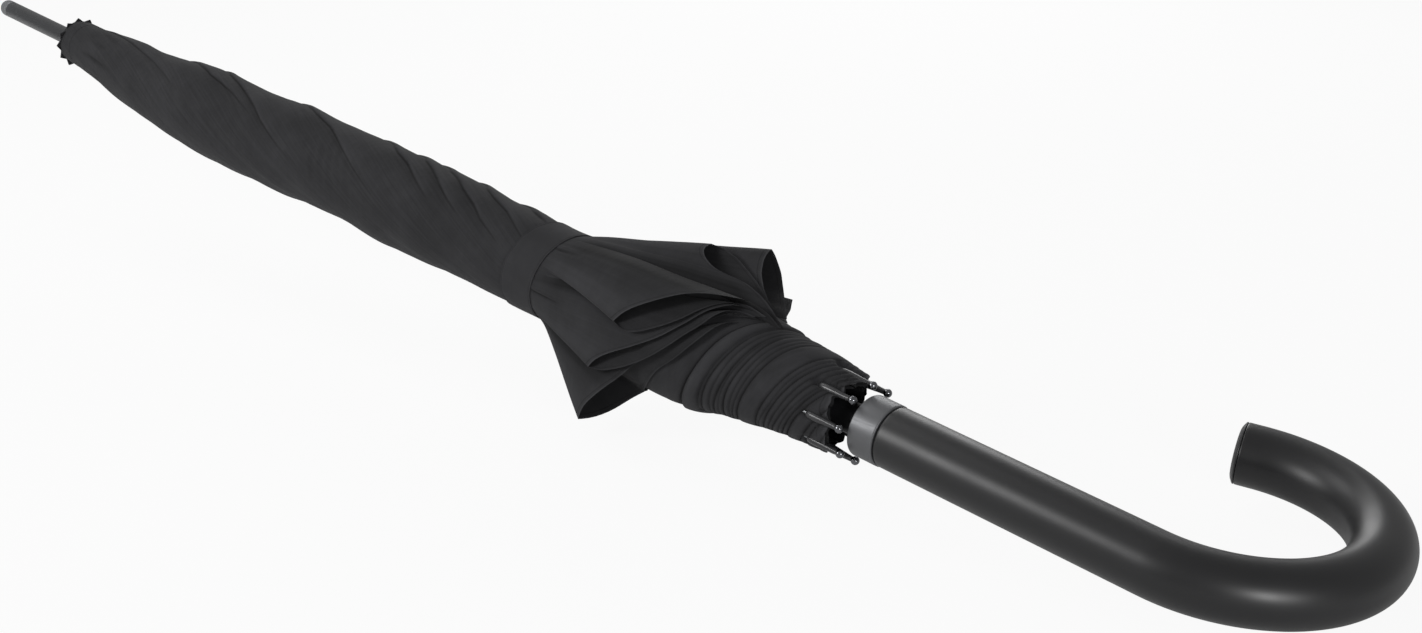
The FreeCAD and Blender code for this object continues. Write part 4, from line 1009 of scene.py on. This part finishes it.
class UMBRELLA_OT_handle(bpy.types.Operator):
    """Builds the crook grip, its end plug and the release button"""

    bl_idname = "umbrella.handle"
    bl_label = "Crook Handle"

    def execute(self, context):
        settings = context.scene.umbrella_handle
        radius, bend = settings.grip_diameter / 2, settings.bend_radius
        face = HANDLE_STRAIGHT + CROOK_SWEEP * bend + CROOK_TAIL
        straight, bent = np.linspace(14.6, HANDLE_STRAIGHT, 60), np.linspace(HANDLE_STRAIGHT, face - 0.7, 170)
        run = np.concatenate([straight, bent[1:]])
        inside = radius - GRIP_WALL
        section = [(GRIP_START + SOCKET_DEPTH, inside), (GRIP_START, inside),
                   *((place, radius - less) for place, less in GRIP_LIP), *((place, radius) for place in run),
                   *((face - before, radius - less) for before, less in GRIP_END), (face, 4.0)]
        grip = crook_tube("crook_grip", *zip(*section), bend)
        cut_button_pocket(grip, radius)
        dress(grip, "grip", FRAME_BODY, "crook_handle")
        section = [(face - 6.0, 0.0), (face - 6.0, 6.0), (face + 0.02, 6.0),
                   *((face + past, radius - less) for past, less in PLUG_CROWN), (face + 2.2, 0.0)]
        plug = crook_tube("grip_end_plug", *zip(*section), bend)
        dress(plug, "grip", FRAME_BODY, "handle_end_cap")
        button = button_solid("release_button_cap", [(BUTTON_TOP - below, out) for below, out in BUTTON_CAP]
                              + list(BUTTON_STEM))
        dress(button, "black_plastic", "release_button", "release_button")
        return {"FINISHED"}


class UMBRELLA_OT_collar(bpy.types.Operator):
    """Builds the satin collar between runner and grip"""

    bl_idname = "umbrella.collar"
    bl_label = "Collar"

    def execute(self, context):
        length, bore, outer, edge = 12.5, 7.05, 13.35, 0.7
        outline = rounded([(0.0, bore), (0.0, outer), (-length, outer), (-length, bore)], edge, 6)
        collar = turned_ring("collar_ring", outline, 128)
        dress(collar, "collar", FRAME_BODY, "handle_collar")
        return {"FINISHED"}


# ---- tips and ferrule ----
BALL_RADIUS = 1.85
# the cup that closes a rib's end, as (distance from the crown's pivot, radius)
TIP_CUP = ((567.0, 0.75), (567.05, 1.2), (567.5, 1.55), (568.5, 1.78), (570.0, 1.85), (572.5, 1.8),
           (576.0, 1.55), (580.0, 1.25), (582.2, 1.15), (582.9, 1.1), (583.3, 0.9), (583.3, 0.0))
FERRULE_END = 672.54
# tube of the ferrule, as (distance from the collar mouth, radius): it widens to go over the shaft
FERRULE_TUBE = ((598.7, 5.04), (598.7, 5.16), (604.9, 5.16), (612.0, 4.8), (FERRULE_END, 4.8),
                (FERRULE_END, 4.2), (604.9, 4.2), (604.6, 5.04))
# its cap up to the dome, as (distance past the tube's end, radius): the spigot, then a bevelled shoulder
CAP_SPIGOT = ((-6.0, 0.0), (-6.0, 3.6), (0.05, 3.6), (0.05, 4.5), (0.12, 4.7), (0.35, 4.8))
CAP_LENGTH, CAP_ROUND, CAP_FLAT = 8.5, 3.8, 1.0


class UMBRELLA_OT_tips(bpy.types.Operator):
    """Builds the eight rib tips: a tapered cup and a polished ball"""

    bl_idname = "umbrella.tips"
    bl_label = "Rib Tips"

    def execute(self, context):
        angle = np.radians(np.linspace(150, 0, 15))
        ball = np.stack([RIB_LENGTH + BALL_RADIUS * np.cos(angle), BALL_RADIUS * np.sin(angle)], axis=-1)
        ball = np.concatenate([[(ball[0, 0], 0.0)], ball])
        for number, azimuth in enumerate(RIB_AZIMUTHS, start=1):
            out, side = round_shaft(0.0, azimuth, 1.0), round_shaft(0.0, azimuth + 90, 1.0)
            along = np.array([math.cos(SPLAY), 0, 0]) + math.sin(SPLAY) * out
            above = np.array([-math.sin(SPLAY), 0, 0]) + math.cos(SPLAY) * out
            place = (32, round_shaft(CROWN_PLACE, azimuth, PIVOT_RADIUS), along, side, above)
            cup = turned_solid(f"rib_tip_cup_{number}", TIP_CUP, *place)
            dress(cup, "tip_plastic", f"rib_{number}", f"rib_tip_{number}")
            end = turned_solid(f"rib_tip_ball_{number}", ball, *place)
            dress(end, "gunmetal", f"rib_{number}")
        return {"FINISHED"}


class UMBRELLA_OT_ferrule(bpy.types.Operator):
    """Builds the ferrule tube and its rounded cap"""

    bl_idname = "umbrella.ferrule"
    bl_label = "Ferrule"

    def execute(self, context):
        sleeve = turned_ring("ferrule_tube", rounded(FERRULE_TUBE, 0.05, 2), 72)
        dress(sleeve, "ferrule", FRAME_BODY, "ferrule_sleeve")
        angle = np.radians(np.linspace(0, 90, 12))
        tip = FERRULE_END + CAP_LENGTH
        place = tip - CAP_ROUND + CAP_ROUND * np.sin(angle)
        dome = np.stack([place, CAP_FLAT + CAP_ROUND * np.cos(angle)], axis=-1)
        spigot = [(FERRULE_END + past, radius) for past, radius in CAP_SPIGOT]
        profile = np.concatenate([spigot, dome, [(tip, 0.0)]])
        cap = turned_solid("ferrule_cap_dome", profile, 72, (0, 0, 0), (-1, 0, 0), (0, 1, 0), (0, 0, 1))
        dress(cap, "cap", FRAME_BODY, "ferrule_cap")
        return {"FINISHED"}


# ---- frame ----
SPRING_START = -580.0      # the opening spring's end at the crown, along the shaft
SPRING_LENGTH, SPRING_TURNS = 540.8, 16
COIL_STEPS, WIRE_STEPS = 40, 8


def spring_coil(name, foot, way, length, radius, wire, turns):
    """Helix from foot along way: the wire's circle is carried round at the coil's radius; sizes in mm."""
    foot, way = np.array(foot, float), np.array(way, float)
    first = np.array([0.0, 0.0, 1.0])
    second = np.cross(way, first)
    t = np.linspace(0, 1, turns * COIL_STEPS)[:, None]
    angle = 2 * np.pi * turns * t
    out = np.cos(angle) * first + np.sin(angle) * second
    centre = foot + way * (wire + (length - 2 * wire) * t) + radius * out
    tangent = np.gradient(centre, axis=0)
    side = np.cross(tangent / np.linalg.norm(tangent, axis=1, keepdims=True), out)
    ring = np.radians(np.linspace(0, 360, WIRE_STEPS, endpoint=False))[None, :, None]
    points = centre[:, None] + wire * (np.cos(ring) * out[:, None] + np.sin(ring) * side[:, None])
    coil = make_piece(name, points, grid_faces(len(t), WIRE_STEPS, False, True))
    solid_ends(coil)
    paint(coil, "spring")
    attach(coil, FRAME_BODY)
    return coil


def smoothing_group():
    """A node group that shades faces smooth, so that a CAD node needs no change to its mesh."""
    group = bpy.data.node_groups.new("shade_smooth", "GeometryNodeTree")
    for way in ("INPUT", "OUTPUT"):
        group.interface.new_socket("Geometry", in_out=way, socket_type="NodeSocketGeometry")
    start, shade_smooth, end = (group.nodes.new(kind) for kind in
                                ("NodeGroupInput", "GeometryNodeSetShadeSmooth", "NodeGroupOutput"))
    group.links.new(start.outputs[0], shade_smooth.inputs["Geometry"])
    group.links.new(shade_smooth.outputs[0], end.inputs[0])
    return group


class UMBRELLA_OT_frame(bpy.types.Operator):
    """Finishes the steel frame that the cloth covers and draws its two springs in round wire"""

    bl_idname = "umbrella.frame"
    bl_label = "Metal Frame"

    def execute(self, context):
        finishes = {"shaft_tube": "shaft", "crown": "black_plastic", "crown_wire": "spring",
                    "runner": "black_plastic", "runner_wire": "spring"}
        for number in range(1, len(RIB_AZIMUTHS) + 1):
            finishes[f"rib_{number}"] = finishes[f"stretcher_{number}"] = "rib"
        smooth = smoothing_group()
        for name, finish in finishes.items():
            part = NODES[name]
            part.data.materials.clear()
            part.data.materials.append(finish_materials()[finish])
            part.modifiers.new("weld", "WELD").merge_threshold = 1e-6
            part.modifiers.new("smooth", "NODES").node_group = smooth
            part.modifiers.new("edges", "EDGE_SPLIT").split_angle = math.radians(32)
        foot = (SPRING_START, 0, 0)
        coil = spring_coil("opening_spring_coil", foot, (1, 0, 0), SPRING_LENGTH, 5.6, 0.4, SPRING_TURNS)
        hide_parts("opening_spring")
        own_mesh(coil)
        foot = (BUTTON_PLACE, POCKET_FLOOR + 0.05, 0)
        coil = spring_coil("button_spring_coil", foot, (0, 1, 0), 2.7, 2.05, 0.14, 2)
        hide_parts("button_spring")
        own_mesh(coil)
        return {"FINISHED"}


# ---- studio ----
# the photograph's camera in the umbrella frame, mm, fitted to the umbrella's outline
CAMERA_PLACE = (437.3, -598.6, 368.2)
CAMERA_RIGHT = (0.721, 0.688, 0.090)
CAMERA_UP = (-0.340, 0.238, 0.910)
CAMERA_LENS = 51.62
# softboxes in the row frame, metres: name, place, what it looks at, side, watts
MIDDLE = (0.05, -0.02, 0.03)
LAMPS = (("key_softbox", (-0.42, -1.02, 0.62), MIDDLE, 0.42, 6.0),
         ("top_softbox", (-0.75, -0.1, 1.15), MIDDLE, 0.7, 3.0),
         ("back_softbox", (-0.5, 0.95, 0.55), MIDDLE, 0.6, 3.0),
         ("crook_softbox", (1.25, -0.55, 0.30), (0.4, -0.03, 0.03), 0.26, 4.2))
FLOOR_HALF, FLOOR_DROP = 6.0, 0.0002
FLOOR_GLOW = 0.93          # share of the floor's light that is its own where the studio is white
WORLD_LIGHT = 0.17
GLOSSY_SHARE = 0.2         # a fifth of the white for glossy rays: all of it would wash the dark grip out


def backdrop_share(owner):
    """How white the studio is to a ray: 1 for camera and transmission rays, less for glossy ones, else 0."""
    rays = node(owner, "ShaderNodeLightPath").outputs
    seen = node(owner, "ShaderNodeMath", {0: rays["Is Camera Ray"], 1: rays["Is Transmission Ray"]},
                operation="MAXIMUM")
    mirrored = node(owner, "ShaderNodeMath", {0: rays["Is Glossy Ray"], 1: GLOSSY_SHARE},
                    operation="MULTIPLY")
    return node(owner, "ShaderNodeMath", {0: seen, 1: mirrored}, operation="MAXIMUM")


class UMBRELLA_OT_studio(bpy.types.Operator):
    """Sets the pale floor, the soft lamps and the camera"""

    bl_idname = "umbrella.studio"
    bl_label = "Studio"

    def execute(self, context):
        scene = context.scene
        self.camera(scene)
        self.floor(scene)
        self.world(scene)
        for name, place, target, size, watts in LAMPS:
            data = bpy.data.lights.new(name, "AREA")
            data.shape, data.size, data.energy = "SQUARE", size, watts
            lamp = bpy.data.objects.new(name, data)
            lamp.location = place
            lamp.rotation_mode = "QUATERNION"
            lamp.rotation_quaternion = (Vector(target) - Vector(place)).to_track_quat("-Z", "Y")
            scene.collection.objects.link(lamp)
        scene.view_settings.view_transform = "Standard"
        return {"FINISHED"}

    def camera(self, scene):
        """The photograph's camera: up is made square to right, and back is their cross product."""
        right = axes_in_row(CAMERA_RIGHT)
        right /= np.linalg.norm(right)
        up = axes_in_row(CAMERA_UP)
        up -= right * (up @ right)
        up /= np.linalg.norm(up)
        columns = np.stack([right, up, np.cross(right, up), row_points(np.array(CAMERA_PLACE))], axis=-1)
        data = bpy.data.cameras.new("photo_camera")
        data.lens, data.sensor_width = CAMERA_LENS, 36.0
        camera = bpy.data.objects.new("photo_camera", data)
        camera.matrix_world = Matrix([*columns.tolist(), (0, 0, 0, 1)])
        scene.collection.objects.link(camera)
        scene.camera = camera

    def floor(self, scene):
        """A wide level sheet of paper just under the umbrella: it glows white where the studio is white."""
        mesh = bpy.data.meshes.new("studio_floor")
        square = ((-1, -1), (1, -1), (1, 1), (-1, 1))
        corners = [(FLOOR_HALF * x, FLOOR_HALF * y, -FLOOR_DROP) for x, y in square]
        mesh.from_pydata(corners, [], [(0, 1, 2, 3)])
        floor = bpy.data.objects.new("studio_floor", mesh)
        scene.collection.objects.link(floor)
        material = bpy.data.materials.new("floor_seamless_paper")
        material.use_nodes = True
        material.node_tree.nodes.clear()
        share = node(material, "ShaderNodeMath", {0: backdrop_share(material), 1: FLOOR_GLOW},
                     operation="MULTIPLY")
        paper = node(material, "ShaderNodeBsdfDiffuse", {"Color": (0.82, 0.82, 0.82, 1)})
        glow = node(material, "ShaderNodeEmission", {"Color": (1, 1, 1, 1), "Strength": 1.0})
        mix = node(material, "ShaderNodeMixShader", {0: share, 1: paper, 2: glow})
        node(material, "ShaderNodeOutputMaterial", {"Surface": mix})
        mesh.materials.append(material)

    def world(self, scene):
        """Even light from all round, and a white studio for the rays that see it."""
        world = bpy.data.worlds.new("studio_world")
        world.use_nodes = True
        scene.world = world
        world.node_tree.nodes.clear()
        soft, white = (node(world, "ShaderNodeBackground", {"Color": (1, 1, 1, 1), "Strength": strength})
                       for strength in (WORLD_LIGHT, 1.0))
        mix = node(world, "ShaderNodeMixShader", {0: backdrop_share(world), 1: soft, 2: white})
        node(world, "ShaderNodeOutputWorld", {"Surface": mix})


class UMBRELLA_PT_panel(bpy.types.Panel):
    """Lists the steps that build the umbrella"""

    bl_idname = "UMBRELLA_PT_panel"
    bl_label = "Stick Umbrella"
    bl_space_type = "VIEW_3D"
    bl_region_type = "UI"
    bl_category = "Umbrella"

    def draw(self, context):
        for setting, group in SETTINGS.items():
            for name in group.__annotations__:
                self.layout.prop(getattr(context.scene, setting), name)
        for step in STEPS:
            self.layout.operator(step)


SETTINGS = {"umbrella_canopy": CanopySettings, "umbrella_handle": HandleSettings,
            "umbrella_metal": MetalSettings}
STEPS = ("umbrella.gores", "umbrella.canopy_top", "umbrella.strap", "umbrella.handle", "umbrella.collar",
         "umbrella.tips", "umbrella.ferrule", "umbrella.frame", "umbrella.studio")
CLASSES = (*SETTINGS.values(), UMBRELLA_OT_gores, UMBRELLA_OT_canopy_top, UMBRELLA_OT_strap,
           UMBRELLA_OT_handle, UMBRELLA_OT_collar, UMBRELLA_OT_tips, UMBRELLA_OT_ferrule, UMBRELLA_OT_frame,
           UMBRELLA_OT_studio, UMBRELLA_PT_panel)


def register():
    """Makes the settings, the steps and the panel known to Blender."""
    for cls in CLASSES:
        bpy.utils.register_class(cls)
    for setting, group in SETTINGS.items():
        setattr(bpy.types.Scene, setting, bpy.props.PointerProperty(type=group))


def unregister():
    """Takes them away again, in the opposite order."""
    for setting in reversed(SETTINGS):
        delattr(bpy.types.Scene, setting)
    for cls in reversed(CLASSES):
        bpy.utils.unregister_class(cls)


def main():
    """Registers the add-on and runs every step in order."""
    register()
    for step in STEPS:
        group, name = step.split(".")
        getattr(getattr(bpy.ops, group), name)()


if __name__ == "__main__":
    main()
